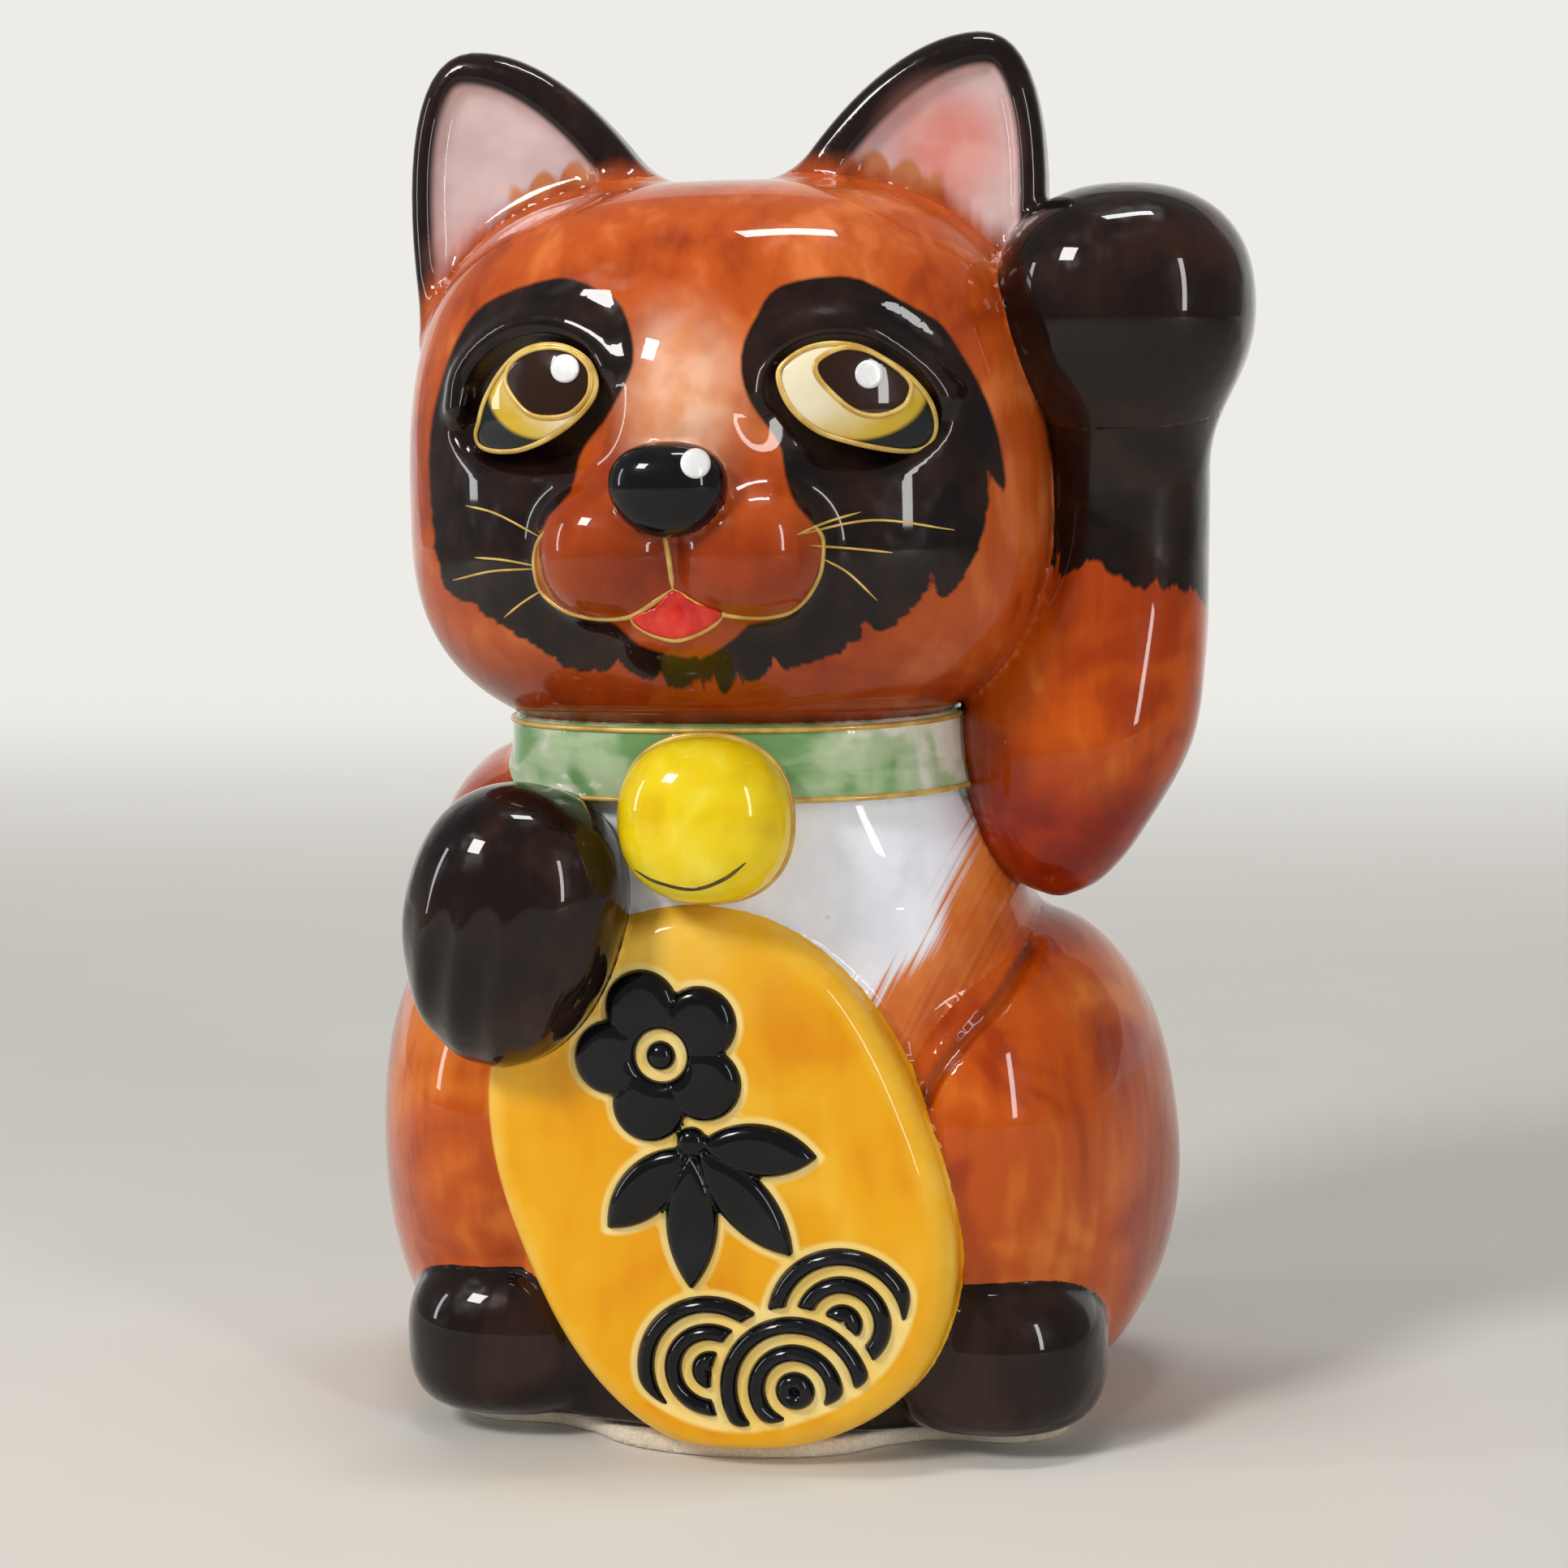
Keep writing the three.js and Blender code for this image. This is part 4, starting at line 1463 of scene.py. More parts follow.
    def plate(self, points: Array) -> Array:
        """Measures points against the base plate with its boss and its hole.

        Args:
            points: The points.

        Returns:
            Their distances, negative inside.
        """
        x, y, z = points.T
        rims = [self.seat_rim, *self.foot_rims]
        flat, *feet = (oval_distance(x - rim[0], y - rim[1], rim[2:]) for rim in rims)
        for foot in feet:
            flat = blended(flat, foot, self.rim_fillet)
        slab = rounded(flat, np.abs(z - FOOT_HEIGHT / 2) - FOOT_HEIGHT / 2, self.plate_edge)
        radius = np.hypot(x, y - Stopper.y)
        half = (self.boss_height - FOOT_HEIGHT / 2) / 2
        depth = np.abs(z - self.boss_height + half) - half
        boss = rounded(radius - self.hole_radius - self.boss_wall, depth, self.plate_edge)
        hole = self.hole_radius - radius
        recess = np.maximum(radius - self.recess_radius, z - self.recess_height)
        bored = carved(blended(slab, boss, self.boss_fillet), hole, self.hole_edge)
        return carved(bored, -recess, self.hole_edge)


@dataclass
class Stopper:
    """The rubber stopper in the base, with its flange and its finger grip."""

    y: float = 6.0
    profile: tuple[Pair, ...] = (
        (0.01, 3.5), (5.2, 3.5), (5.8, 3.2), (6.0, 2.8), (6.0, 1.2), (6.3, 0.7), (6.9, 0.5), (17.6, 0.5),
        (18.2, 0.7), (18.5, 1.2), (18.4, 1.9), (17.8, 2.3), (15.6, 2.4), (15.2, 2.7), (15.05, 5.0),
        (14.5, 9.8), (14.1, 10.7), (13.2, 11.0), (0.01, 11.0),
    )
    around: int = 72

    def build(self, bench: Workbench) -> None:
        """Turns the stopper's profile round its axis.

        Args:
            bench: The workbench.
        """
        outline = smoothed(self.profile, closed=False, cuts=3)
        angles = np.linspace(0, 2 * math.pi, self.around, endpoint=False)
        across, along, level = np.cos(angles), np.sin(angles), np.ones(self.around)
        rings = [np.stack([r * across, self.y + r * along, z * level], axis=1) for r, z in outline]
        points = np.concatenate(rings)
        rows = np.arange(len(outline) - 1)[:, None] * self.around
        column = np.arange(self.around)[None]
        beside = (column + 1) % self.around
        quads = [rows + column, rows + beside, rows + self.around + beside, rows + self.around + column]
        faces = np.stack([q.ravel() for q in quads], axis=1).tolist()
        last = (len(outline) - 1) * self.around
        faces += [list(range(self.around))[::-1], [last + i for i in range(self.around)]]
        bench.make("stopper_plug", points, faces, RUBBER, ["stopper"], body="stopper")


@dataclass
class HindLeg:
    """One haunch and its foot."""

    side: Side
    haunch_centre: Place = (33.5, 3.9, 35.4)
    haunch_half: Place = (20, 28, 33)
    lean: float = 20.0
    toe_in: float = 16.0
    foot_spread: float = 32.2
    foot_shift: float = 1.0
    foot_y: float = -12.1
    foot_up: float = 12.7
    foot_half_width: float = 14.6
    foot_depth: float = 14.0
    foot_rise: float = 12.5
    foot_drop: float = 10.6
    foot_low_bow: float = 3.4
    crease: Pixels = ((1272, 1165), (1236, 1227), (1192, 1276), (1151, 1330), (1130, 1385))
    crease_radius: float = 0.9
    crease_edge: float = 0.9

    def shape(self, bench: Workbench) -> None:
        """Adds the haunch and the foot to the clay.

        Args:
            bench: The workbench.
        """
        sign, word = self.side.value, self.side.word
        x, y, z = self.haunch_centre
        axes = turned(self.lean, -sign * self.toe_in)
        forms = bench.clay.forms
        groove = forms[f"{word}_crease"] = self.groove(bench)
        bulge = lump((sign * x, y, z), self.haunch_half, axes)
        forms[f"{word}_haunch"] = pressed(bulge, groove, self.crease_edge)
        forms["torso"] = pressed(forms["torso"], groove, self.crease_edge)
        middle = (sign * self.foot_spread + self.foot_shift, self.foot_y, self.foot_up)
        deep = self.foot_depth
        forms[f"{word}_foot"] = Egg(
            middle, self.foot_half_width, deep, deep, self.foot_rise, self.foot_drop,
            low_bow=self.foot_low_bow,
        )
        bench.clay.join(f"{word}_haunch", "torso", reach=1.6)
        bench.clay.join(f"{word}_foot", "torso", f"{word}_haunch", reach=1.4)

    def groove(self, bench: Workbench) -> Field:
        """Finds the crease between the belly and the haunch, drawn on the left and mirrored on the right.

        Args:
            bench: The workbench.

        Returns:
            The field of a round tool that follows the crease.
        """
        x, y, z = self.haunch_centre
        bulge = lump((x, y, z), self.haunch_half, turned(self.lean, -self.toe_in))
        belly = Loft(Trunk().sections)
        line = bench.camera.hit(both(bulge, belly), smoothed(self.crease, closed=False))
        line = line * (self.side.value, 1, 1)
        return lambda points: line_distance(points, line) - self.crease_radius

    def build(self, bench: Workbench) -> None:
        """Makes the haunch and the foot.

        Args:
            bench: The workbench.
        """
        word = self.side.word

        def paint(points: Array, normals: Array) -> Paint:
            """Marks the painted shade along the crease."""
            return {"crease": bench.clay.forms[f"{word}_crease"](points)}

        haunch = bench.clay.casting(f"{word}_haunch")
        bench.cast(f"{word}_thigh", haunch, THIGH_GLAZE, [f"{word}_haunch"], pitch=0.75, paint=paint)
        bench.cast(f"{word}_hind_paw", bench.clay.casting(f"{word}_foot"), BLACK_GLAZE, [f"{word}_foot"])


@dataclass
class CoinPlate:
    """The oval gold plate against the belly, with raised ornament."""

    centre: Place = (0.4, -25.0, 36.7)
    half_width: float = 27.7
    half_length: float = 35.6
    thick: float = 13.0
    tilt: float = 21.4
    bow: float = 2.43
    edge: float = 3.6
    pillow: float = 1.2
    pillow_most: float = 1.2
    pillow_power: int = 3
    relief: float = 1.5
    relief_edge: float = 2.2
    relief_sink: float = 1.0  # how far the ornament runs on under the skin
    motif_edge: float = 1.0
    margin: float = 4.6  # bare border round the ornament
    flower_at: Pair = (0.5, 18.2)
    petals: int = 5
    petal_radius: float = 4.9
    petal_out: float = 6.5
    flower_eye: float = 2.0
    eye_gap: float = 1.2
    petal_edge: float = 0.8
    leaf_root: Pair = (0.0, 6.6)
    leaves: tuple[Pair, ...] = (  # turn and length
        (-66, 15.5), (-23, 18.5), (20, 18.5), (63, 15.5),
    )
    leaf_half_width: float = 3.5
    leaf_start: float = 0.8
    knot: float = 2.1
    wave_at: tuple[Pair, ...] = ((-9.2, -21.5), (9.2, -21.5), (0.0, -27.6))
    wave_rings: tuple[float, ...] = (8.6, 5.0, 1.4)
    wave_stroke: float = 1.25
    wave_gap: float = 0.9
    halo: float = 0.7  # pale line round the ornament
    # width of the painted highlight along the rim of the plate
    rim_width: float = 2.4
    crest: float = 25.0  # past this, towards the top, the plate is paler with painted light from above and thinner glaze

    def flat(self, points: Array) -> tuple[Array, Array]:
        """Finds points in the plate's own plane: across it, and along it towards its top.

        Args:
            points: The points.

        Returns:
            How far across and how far along the plate they are.
        """
        angle = math.radians(self.tilt)
        x, z = points[:, 0] - self.centre[0], points[:, 2] - self.centre[2]
        return x * math.cos(angle) + z * math.sin(angle), z * math.cos(angle) - x * math.sin(angle)

    def border(self, points: Array, inset: float = 0.0) -> Array:
        """Measures points in the plate's plane against its oval outline, or one that is set in."""
        half = (self.half_width - inset, self.half_length - inset)
        return oval_distance(*self.flat(points), half, self.bow)

    def measure(self, points: Array) -> Array:
        """Measures points against the pillowed plate.

        Args:
            points: The points.

        Returns:
            Their distances, negative inside.
        """
        flat = self.border(points)
        share = np.clip(1 + flat / self.half_width, 0, self.pillow_most)
        fall = self.pillow * share**self.pillow_power
        return rounded(flat, np.abs(points[:, 1] - self.centre[1]) - self.thick / 2 + fall, self.edge)

    def blossom(self, across: Array, along: Array) -> Array:
        """Measures flat points against the five-petalled blossom.

        Args:
            across: How far across the plate the points are.
            along: How far along it they are.

        Returns:
            Their distances, negative inside.
        """
        u, v = across - self.flower_at[0], along - self.flower_at[1]
        turn = 2 * math.pi / self.petals
        angle = np.mod(np.arctan2(u, v) + turn / 2, turn) - turn / 2
        radius = np.hypot(u, v)
        petal = np.hypot(radius * np.sin(angle), radius * np.cos(angle) - self.petal_out) - self.petal_radius
        ring = carved(petal, self.flower_eye + self.eye_gap - radius, self.petal_edge)
        return np.minimum(ring, radius - self.flower_eye)

    def foliage(self, across: Array, along: Array) -> Array:
        """Measures flat points against the spray of pointed leaves and its knot.

        Args:
            across: How far across the plate the points are.
            along: How far along it they are.

        Returns:
            Their distances, negative inside.
        """
        u, v = across - self.leaf_root[0], along - self.leaf_root[1]
        spray = np.hypot(u, v) - self.knot
        for degrees, length in self.leaves:
            turn = math.radians(degrees)
            run = -v * math.cos(turn) + u * math.sin(turn) - self.leaf_start - length / 2
            side = np.abs(v * math.sin(turn) + u * math.cos(turn))
            radius = ((length / 2) ** 2 + self.leaf_half_width**2) / (2 * self.leaf_half_width)
            leaf = np.hypot(run, side + radius - self.leaf_half_width) - radius
            spray = np.minimum(spray, leaf)
        return spray

    def waves(self, across: Array, along: Array) -> Array:
        """Measures flat points against the fans of waves, each in front of the one before.

        Args:
            across: How far across the plate the points are.
            along: How far along it they are.

        Returns:
            Their distances, negative inside.
        """
        fans = np.full(len(across), np.inf)
        for middle_u, middle_v in self.wave_at:
            ring = np.hypot(across - middle_u, along - middle_v)
            bands = np.minimum.reduce([np.abs(ring - r) - self.wave_stroke for r in self.wave_rings])
            behind = self.wave_rings[0] + self.wave_stroke + self.wave_gap - ring
            fans = np.minimum(np.maximum(fans, behind), bands)
        return fans

    def ornament(self, points: Array) -> Array:
        """Measures points in the plate's plane against the blossom, the leaves and the waves.

        Args:
            points: The points.

        Returns:
            Their distances, negative inside.
        """
        spot = self.flat(points)
        motifs = np.minimum(np.minimum(self.blossom(*spot), self.foliage(*spot)), self.waves(*spot))
        return carved(motifs, self.border(points, self.margin), self.motif_edge)

    def shape(self, bench: Workbench) -> None:
        """Adds the plate to the clay."""
        bench.clay.forms["koban"] = self.measure
        bench.clay.join("koban", "torso", "left_haunch", "right_haunch", "left_foot", "right_foot", reach=1.6)

    def build(self, bench: Workbench) -> None:
        """Makes the plate and its raised ornament.

        Args:
            bench: The workbench.
        """
        front = self.centre[1]

        def raised(points: Array) -> Array:
            """Measures points against the ornament.

            Args:
                points: The points.

            Returns:
                Their distances, negative inside.
            """
            over = self.measure(points)
            bead = carved(self.ornament(points), over - self.relief, self.relief_edge)
            return np.maximum(np.maximum(bead, -over - self.relief_sink), points[:, 1] - front)

        def paint(points: Array, normals: Array) -> Paint:
            """Marks the top, paler with painted light from above and thinner glaze, the painted highlight
            along the rim, and the pale line round the ornament.

            Args:
                points: The points.
                normals: Their outward directions; not used.

            Returns:
                The numbers on the points, by name.
            """
            away = np.where(points[:, 1] < front, 0.0, BEHIND)
            return {
                "crest": self.crest - self.flat(points)[1] + away,
                # painted highlight along the rim
                "rim": -self.rim_width - self.border(points) + away,
                "halo": self.ornament(points) - self.halo + away,
            }

        bench.cast("coin_plate", bench.clay.casting("koban"), GOLD_GLAZE, ["koban"], pitch=0.7, paint=paint)
        bench.cast("coin_ornament", raised, INK_GLAZE, ["koban"], pitch=0.5, stands_for=False)


@dataclass
class Collar:
    """The collar with its gold edges, and the bell that hangs on it."""

    low: float = 85.4
    height: float = 10.0
    thick: float = 2.3
    edge: float = 1.0
    bell_centre: Place = (1, -32.9, 84.0)
    bell_half: Place = (10.9, 8, 10.4)
    bell_slit: Pixels = ((782, 1072), (810, 1087), (853, 1096), (891, 1084), (919, 1063))
    slit_half: float = 0.28
    slit_height: float = 0.16
    ring_half: float = 0.45
    ring_height: float = 0.4
    ring_back: float = 0.8  # behind the bell's middle
    cuts: int = 160  # points round the piping and the ring
    piping: float = 0.36
    piping_inset: float = 0.6
    end_line: Pixels = ((1184, 868), (1186, 910), (1188, 950))

    def shape(self, bench: Workbench) -> None:
        """Adds the strap and the bell to the clay.

        Args:
            bench: The workbench.
        """
        self.round_neck = Loft(Trunk().sections, self.thick)
        bench.clay.forms["collar"] = self.strap
        bench.clay.forms["bell"] = lump(self.bell_centre, self.bell_half)
        bench.clay.join("collar", "torso", "bell", reach=0.6)
        bench.clay.join("bell", "torso", "koban", reach=0.8)

    def strap(self, points: Array) -> Array:
        """Measures points against the strap before it is cut to the neck."""
        middle = self.low + self.height / 2
        return rounded(self.round_neck(points), np.abs(points[:, 2] - middle) - self.height / 2, self.edge)

    def build(self, bench: Workbench) -> None:
        """Makes the strap, its gold edges, the bell, its ring and its slit.

        Args:
            bench: The workbench.
        """
        bench.cast("neck_strap", bench.clay.casting("collar"), GREEN_GLAZE, ["collar"], pitch=0.7)
        bench.cast("bell_ball", bench.clay.casting("bell"), YELLOW_GLAZE, ["bell"], pitch=0.6)
        angles = np.linspace(0, 2 * math.pi, self.cuts, endpoint=False)
        edges = []
        for up in (self.low + self.piping_inset, self.low + self.height - self.piping_inset):
            ring = self.round_neck.ring(up, angles)
            edges.append((ring, slope(self.round_neck, ring), True))
        forms = bench.clay.forms
        edges.append(bench.drawn(both(forms["collar"], forms["torso"]), self.end_line))
        bench.beads("collar_piping", edges, self.piping, self.piping, GOLD_LINE)
        ball = forms["bell"]
        x, y, z = self.bell_centre
        wide, _, high = self.bell_half
        across, along = bowed(angles)
        back = np.full(self.cuts, y + self.ring_back)
        ring = np.stack([x + wide * across, back, z + high * along], axis=1)
        loop = (ring, slope(ball, ring), True)
        bench.beads("bell_ring", [loop], self.ring_half, self.ring_height, GOLD_LINE)
        slit = bench.drawn(ball, self.bell_slit)
        bench.beads("bell_slit", [slit], self.slit_half, self.slit_height, DARK_LINE)


@dataclass
class Arms:
    """The raised left arm with its paw, and the lowered right arm with its paw."""

    raised_sections: tuple[Section, ...] = (
        Section(70.8, -6.5, 2, 2, 41.5),
        Section(73.9, -6.2, 6.4, 7, 41.6),
        Section(79.4, -5.6, 10.4, 11, 42.0),
        Section(90.4, -4.6, 14.6, 13.4, 43.9),
        Section(102.4, -4, 14.8, 12.4, 45.6),
        Section(114.4, -4, 10.8, 11, 50.0),
        Section(128.4, -5, 10, 10.5, 51.0),
        Section(140.4, -7, 9, 9.5, 51.0),
    )
    raised_paw_centre: Place = (51, -10, 146.4)
    raised_paw_half: Place = (16.2, 14.5, 14.8)
    sleeve_low: float = 112.0
    sleeve_slant: float = 0.2
    lowered_centre: Place = (-27.5, -7.6, 77.9)
    lowered_half: Place = (12, 20, 12.5)
    lowered_lean: float = 12.0
    lowered_paw_centre: Place = (-24, -32, 71.9)
    lowered_paw_width: float = 13.8
    lowered_paw_depth: float = 12.5
    lowered_paw_rise: float = 16.4
    lowered_paw_drop: float = 20.0
    lowered_paw_tilt: float = 13.0
    lowered_paw_point: float = 2.0
    toe_pitch: float = 5.6
    toe_relief: float = 0.4
    toe_from: float = 7.0  # over the paw's middle
    toe_over: float = 16.0
    pool_up: float = 88.0  # under this height the arm is darkened with painted shade

    def shape(self, bench: Workbench) -> None:
        """Adds the arms and the paws to the clay.

        Args:
            bench: The workbench.
        """
        clay = bench.clay
        clay.forms["raised_arm"] = Loft(self.raised_sections)
        clay.forms["raised_paw"] = lump(self.raised_paw_centre, self.raised_paw_half)
        clay.forms["lowered_arm"] = lump(self.lowered_centre, self.lowered_half, turned(self.lowered_lean))
        clay.forms["lowered_paw"] = self.mitten
        clay.join("raised_arm", "torso", reach=2.0)
        clay.join("raised_arm", "raised_paw", reach=9.0)
        clay.join("raised_arm", "head", "collar", "left_haunch", reach=1.0)
        clay.join("raised_paw", "head", "left_ear", reach=1.0)
        clay.join("lowered_arm", "torso", reach=2.5)
        clay.join("lowered_arm", "lowered_paw", "collar", "right_haunch", "head", reach=1.2)
        clay.join("lowered_paw", "torso", "koban", "collar", "bell", reach=1.0)

    def mitten(self, points: Array) -> Array:
        """Measures points against the lowered paw, fluted into four toes.

        Args:
            points: The points.

        Returns:
            Their distances, negative inside.
        """
        deep, axes = self.lowered_paw_depth, turned(tilt=self.lowered_paw_tilt)
        ball = Egg(
            self.lowered_paw_centre, self.lowered_paw_width, deep, deep, self.lowered_paw_rise,
            self.lowered_paw_drop, low_bow=self.lowered_paw_point, axes=axes,
        )
        across, along, up = ((points - self.lowered_paw_centre) @ axes).T
        share = np.clip((self.toe_from - up) / self.toe_over, 0, 1)
        weight = share**2 * (3 - 2 * share) * np.clip(-along / deep, 0, 1)
        return ball(points) + self.toe_relief * weight * np.cos(2 * math.pi * across / self.toe_pitch)

    def build(self, bench: Workbench) -> None:
        """Makes both arms and both paws.

        Args:
            bench: The workbench.
        """
        clay = bench.clay

        def sleeve(points: Array, normals: Array) -> Paint:
            """Marks the black sleeve on the raised arm, and the painted shade low on the arm towards the
            elbow.

            Args:
                points: The points.
                normals: Their outward directions.

            Returns:
                The numbers on the points, by name.
            """
            angle = np.arctan2(normals[:, 1], normals[:, 0])
            aside = points[:, 0] - self.raised_paw_centre[0]
            return {
                "sleeve": self.sleeve_low - points[:, 2] - self.sleeve_slant * aside,
                "sleeve_run": self.raised_sections[-1].half_width * angle,
                "sleeve_hair": np.ones(len(points)),
                "pool": points[:, 2] - self.pool_up,
            }

        bench.cast("beckoning_arm", clay.casting("raised_arm"), SLEEVE_GLAZE, ["raised_arm"], paint=sleeve)
        bench.cast("beckoning_paw", clay.casting("raised_paw"), BLACK_GLAZE, ["raised_paw"])
        bench.cast("resting_arm", clay.casting("lowered_arm"), BROWN_GLAZE, ["lowered_arm"])
        bench.cast("resting_paw", clay.casting("lowered_paw"), BLACK_GLAZE, ["lowered_paw"])


@dataclass
class Head:
    """The head with its painted mask, muzzle and mouth, and what is drawn on it."""

    centre: Place = (0, -9, 120.0)
    half_width: float = 41.8
    front: float = 30.0
    back: float = 32.0
    rise: float = 43.0
    drop: float = 29.0
    crown_bow: float = 3.0
    jowl_bow: float = 2.6
    pad_x: float = 8.4
    pad_up: float = 117.6
    pad_sink: float = 3.2
    pad_half: Place = (9.6, 9.4, 8.8)
    bridge_up: float = 130.9
    bridge_sink: float = 6.0
    bridge_half: Place = (9, 8.2, 15)
    jaw_up: float = 108.8
    jaw_sink: float = 4.0
    jaw_half: Place = (7.6, 7, 4.8)
    nose_up: float = 125.7
    nose_proud: float = 4.6
    nose_half_width: float = 7.2
    nose_depth: float = 4.8
    nose_rise: float = 5.1
    nose_drop: float = 6.4
    nose_point: float = 1.95
    pad_fillet: float = 1.6
    bridge_fillet: float = 6.0
    jaw_fillet: float = 3.0
    socket_edge: float = 2.4
    lid_fillet: float = 3.0
    muzzle_fillet: float = 3.0
    mask: Pixels = (
        (765, 376), (745, 361), (704, 343), (668, 346), (617, 363), (584, 386), (561, 422), (546, 463),
        (533, 514), (528, 565), (531, 626), (538, 687), (551, 728), (577, 743), (607, 764), (622, 772),
        (653, 792), (679, 810), (699, 823), (724, 828), (750, 825), (761, 811), (770, 823), (801, 840),
        (812, 828), (824, 846), (847, 848), (858, 830), (867, 855), (877, 831), (888, 856), (902, 846),
        (908, 819), (916, 843), (934, 835), (946, 830), (955, 811), (965, 825), (1005, 815), (1041, 800),
        (1061, 782), (1069, 760), (1076, 782), (1102, 769), (1125, 749), (1144, 726), (1148, 704),
        (1153, 728), (1163, 738), (1186, 715), (1204, 677), (1214, 647), (1219, 613), (1217, 580),
        (1235, 606), (1239, 598), (1235, 560), (1224, 514), (1204, 468), (1179, 427), (1158, 397),
        (1112, 371), (1077, 351), (1041, 340), (980, 346), (949, 361), (934, 386), (916, 422), (913, 458),
        (923, 493), (944, 524), (962, 550), (967, 585), (980, 621), (1003, 647), (1013, 677), (1003, 718),
        (980, 749), (949, 764), (923, 769), (908, 784), (867, 810), (827, 807), (786, 794), (765, 774),
        (745, 763), (714, 759), (689, 749), (666, 728), (658, 698), (663, 667), (676, 636), (704, 606),
        (712, 570), (724, 544), (745, 519), (765, 483), (780, 448), (778, 412),
    )
    mask_back: float = 6.0  # behind the head's middle
    face_middle: Spot = (860, 640)
    face_radius: float = 34.0
    hair_from: int = 560  # above this row of the photograph the mask has a clean edge
    hair_over: int = 180
    hair_least: float = 0.08
    muzzle_hair: float = 0.06
    muzzle_middle: Spot = (835, 690)
    muzzle_radius: Spot = (200, 118)
    glow_middle: Spot = (840, 492)  # where a painted highlight lies over the bridge of the nose
    glow_radius: Spot = (64, 94)
    glow_reach: float = 7.0
    pool_up: float = 102.0  # under this height, and round the lips, the head is darkened with painted shade
    # the oval round the lips that is darkened with painted shade
    pool_middle: Spot = (835, 705)
    pool_radius: Spot = (175, 62)
    lips: tuple[Pixels, ...] = (
        ((671, 654), (661, 672), (658, 698), (666, 728), (689, 749), (714, 759), (745, 763), (776, 760),
         (801, 746), (829, 726)),
        ((829, 726), (852, 741), (878, 754), (908, 760), (944, 761), (974, 754), (995, 736), (1010, 708),
         (1014, 682), (1013, 662), (1003, 647)),
        ((817, 652), (822, 677), (826, 703), (829, 726)),
        ((776, 761), (786, 772), (806, 783), (832, 789), (857, 782), (880, 769), (893, 754)),
    )
    tongue: Pixels = (
        (778, 760), (806, 748), (829, 727), (857, 743), (890, 755), (880, 769), (857, 782), (832, 788),
        (806, 783), (786, 773),
    )
    whiskers: tuple[Pixels, ...] = (
        ((982, 659), (1020, 643), (1060, 631)), ((982, 659), (1076, 641), (1176, 653)),
        ((998, 672), (1050, 676), (1100, 681)), ((1013, 688), (1045, 706), (1081, 740)),
        ((666, 662), (611, 633), (574, 623)), ((658, 697), (620, 690), (585, 687)),
        ((658, 701), (606, 704), (558, 715)), ((668, 727), (642, 744), (621, 761)),
    )
    lip_half: float = 0.36
    lip_height: float = 0.26
    whisker_half: float = 0.15
    whisker_height: float = 0.1
    enamel: float = 0.4  # height of the tongue and of the nose's light
    nose_dot: Spot = (857, 571)
    dot_radius: int = 19
    lids: tuple[Pixels, ...] = (
        ((926, 480), (932, 450), (955, 425), (990, 408), (1030, 402), (1070, 408), (1108, 427), (1140, 452),
         (1164, 486)),
        ((562, 500), (568, 462), (592, 428), (628, 406), (668, 398), (706, 404), (736, 422), (752, 448)),
    )
    lid_radius: float = 1.3
    lid_sink: float = 0.7

    def skull_front(self, x: float, up: float) -> float:
        """How far forward the bare skull is at a place on the face.

        Args:
            x: How far to the side the place is.
            up: How high it is.

        Returns:
            Its depth.
        """
        rise = up - self.centre[2]
        bow, reach = (self.crown_bow, self.rise) if rise > 0 else (self.jowl_bow, self.drop)
        spread = max(0.0, 1 - abs(rise / reach) ** bow) ** (1 / bow)
        share = max(0.0, 1 - abs(x / (self.half_width * spread)) ** BOW) ** (1 / BOW)
        return self.centre[1] - self.front * spread * share

    def shape(self, bench: Workbench) -> None:
        """Adds the head and the nose to the clay.

        Args:
            bench: The workbench.
        """
        self.skull = Egg(
            self.centre, self.half_width, self.front, self.back, self.rise, self.drop,
            self.crown_bow, self.jowl_bow,
        )
        pad_y = self.skull_front(self.pad_x, self.pad_up) + self.pad_sink
        self.pads = [lump((side.value * self.pad_x, pad_y, self.pad_up), self.pad_half) for side in Side]
        bridge_y = self.skull_front(0, self.bridge_up) + self.bridge_sink
        self.bridge = lump((0, bridge_y, self.bridge_up), self.bridge_half)
        self.jaw = lump((0, self.skull_front(0, self.jaw_up) + self.jaw_sink, self.jaw_up), self.jaw_half)
        self.sockets = [eye.socket(self) for eye in EYES]
        arcs = [bench.camera.hit(self.skull, smoothed(lid, closed=False, cuts=3)) for lid in self.lids]
        self.arcs = [arc - self.lid_sink * slope(self.skull, arc) for arc in arcs]
        clay = bench.clay
        clay.forms["head"] = self.measure
        nose_y = self.skull_front(0, self.nose_up) - self.nose_proud
        deep = self.nose_depth
        clay.forms["nose"] = Egg(
            (0, nose_y, self.nose_up), self.nose_half_width, deep, deep, self.nose_rise, self.nose_drop,
            low_bow=self.nose_point,
        )
        clay.join("head", "torso", "collar", reach=0.5)
        clay.join("head", "nose", reach=0.6)

    def measure(self, points: Array) -> Array:
        """Measures points against the head: skull, muzzle, jaw, lids and eye sockets.

        Args:
            points: The points.

        Returns:
            Their distances, negative inside.
        """
        muzzle = blended(self.pads[0](points), self.pads[1](points), self.pad_fillet)
        face = blended(self.skull(points), self.bridge(points), self.bridge_fillet)
        face = blended(face, self.jaw(points), self.jaw_fillet)
        for bowl in self.sockets:
            face = carved(face, -bowl(points), self.socket_edge)
        for arc in self.arcs:
            face = blended(face, line_distance(points, arc) - self.lid_radius, self.lid_fillet)
        return blended(face, muzzle, self.muzzle_fillet)

    def build(self, bench: Workbench) -> None:
        """Makes the head, its nose, its tongue, and the gold lines on its face.

        Args:
            bench: The workbench.
        """
        clay = bench.clay
        mask = bench.camera.prism(smoothed(self.mask, closed=True, cuts=2))

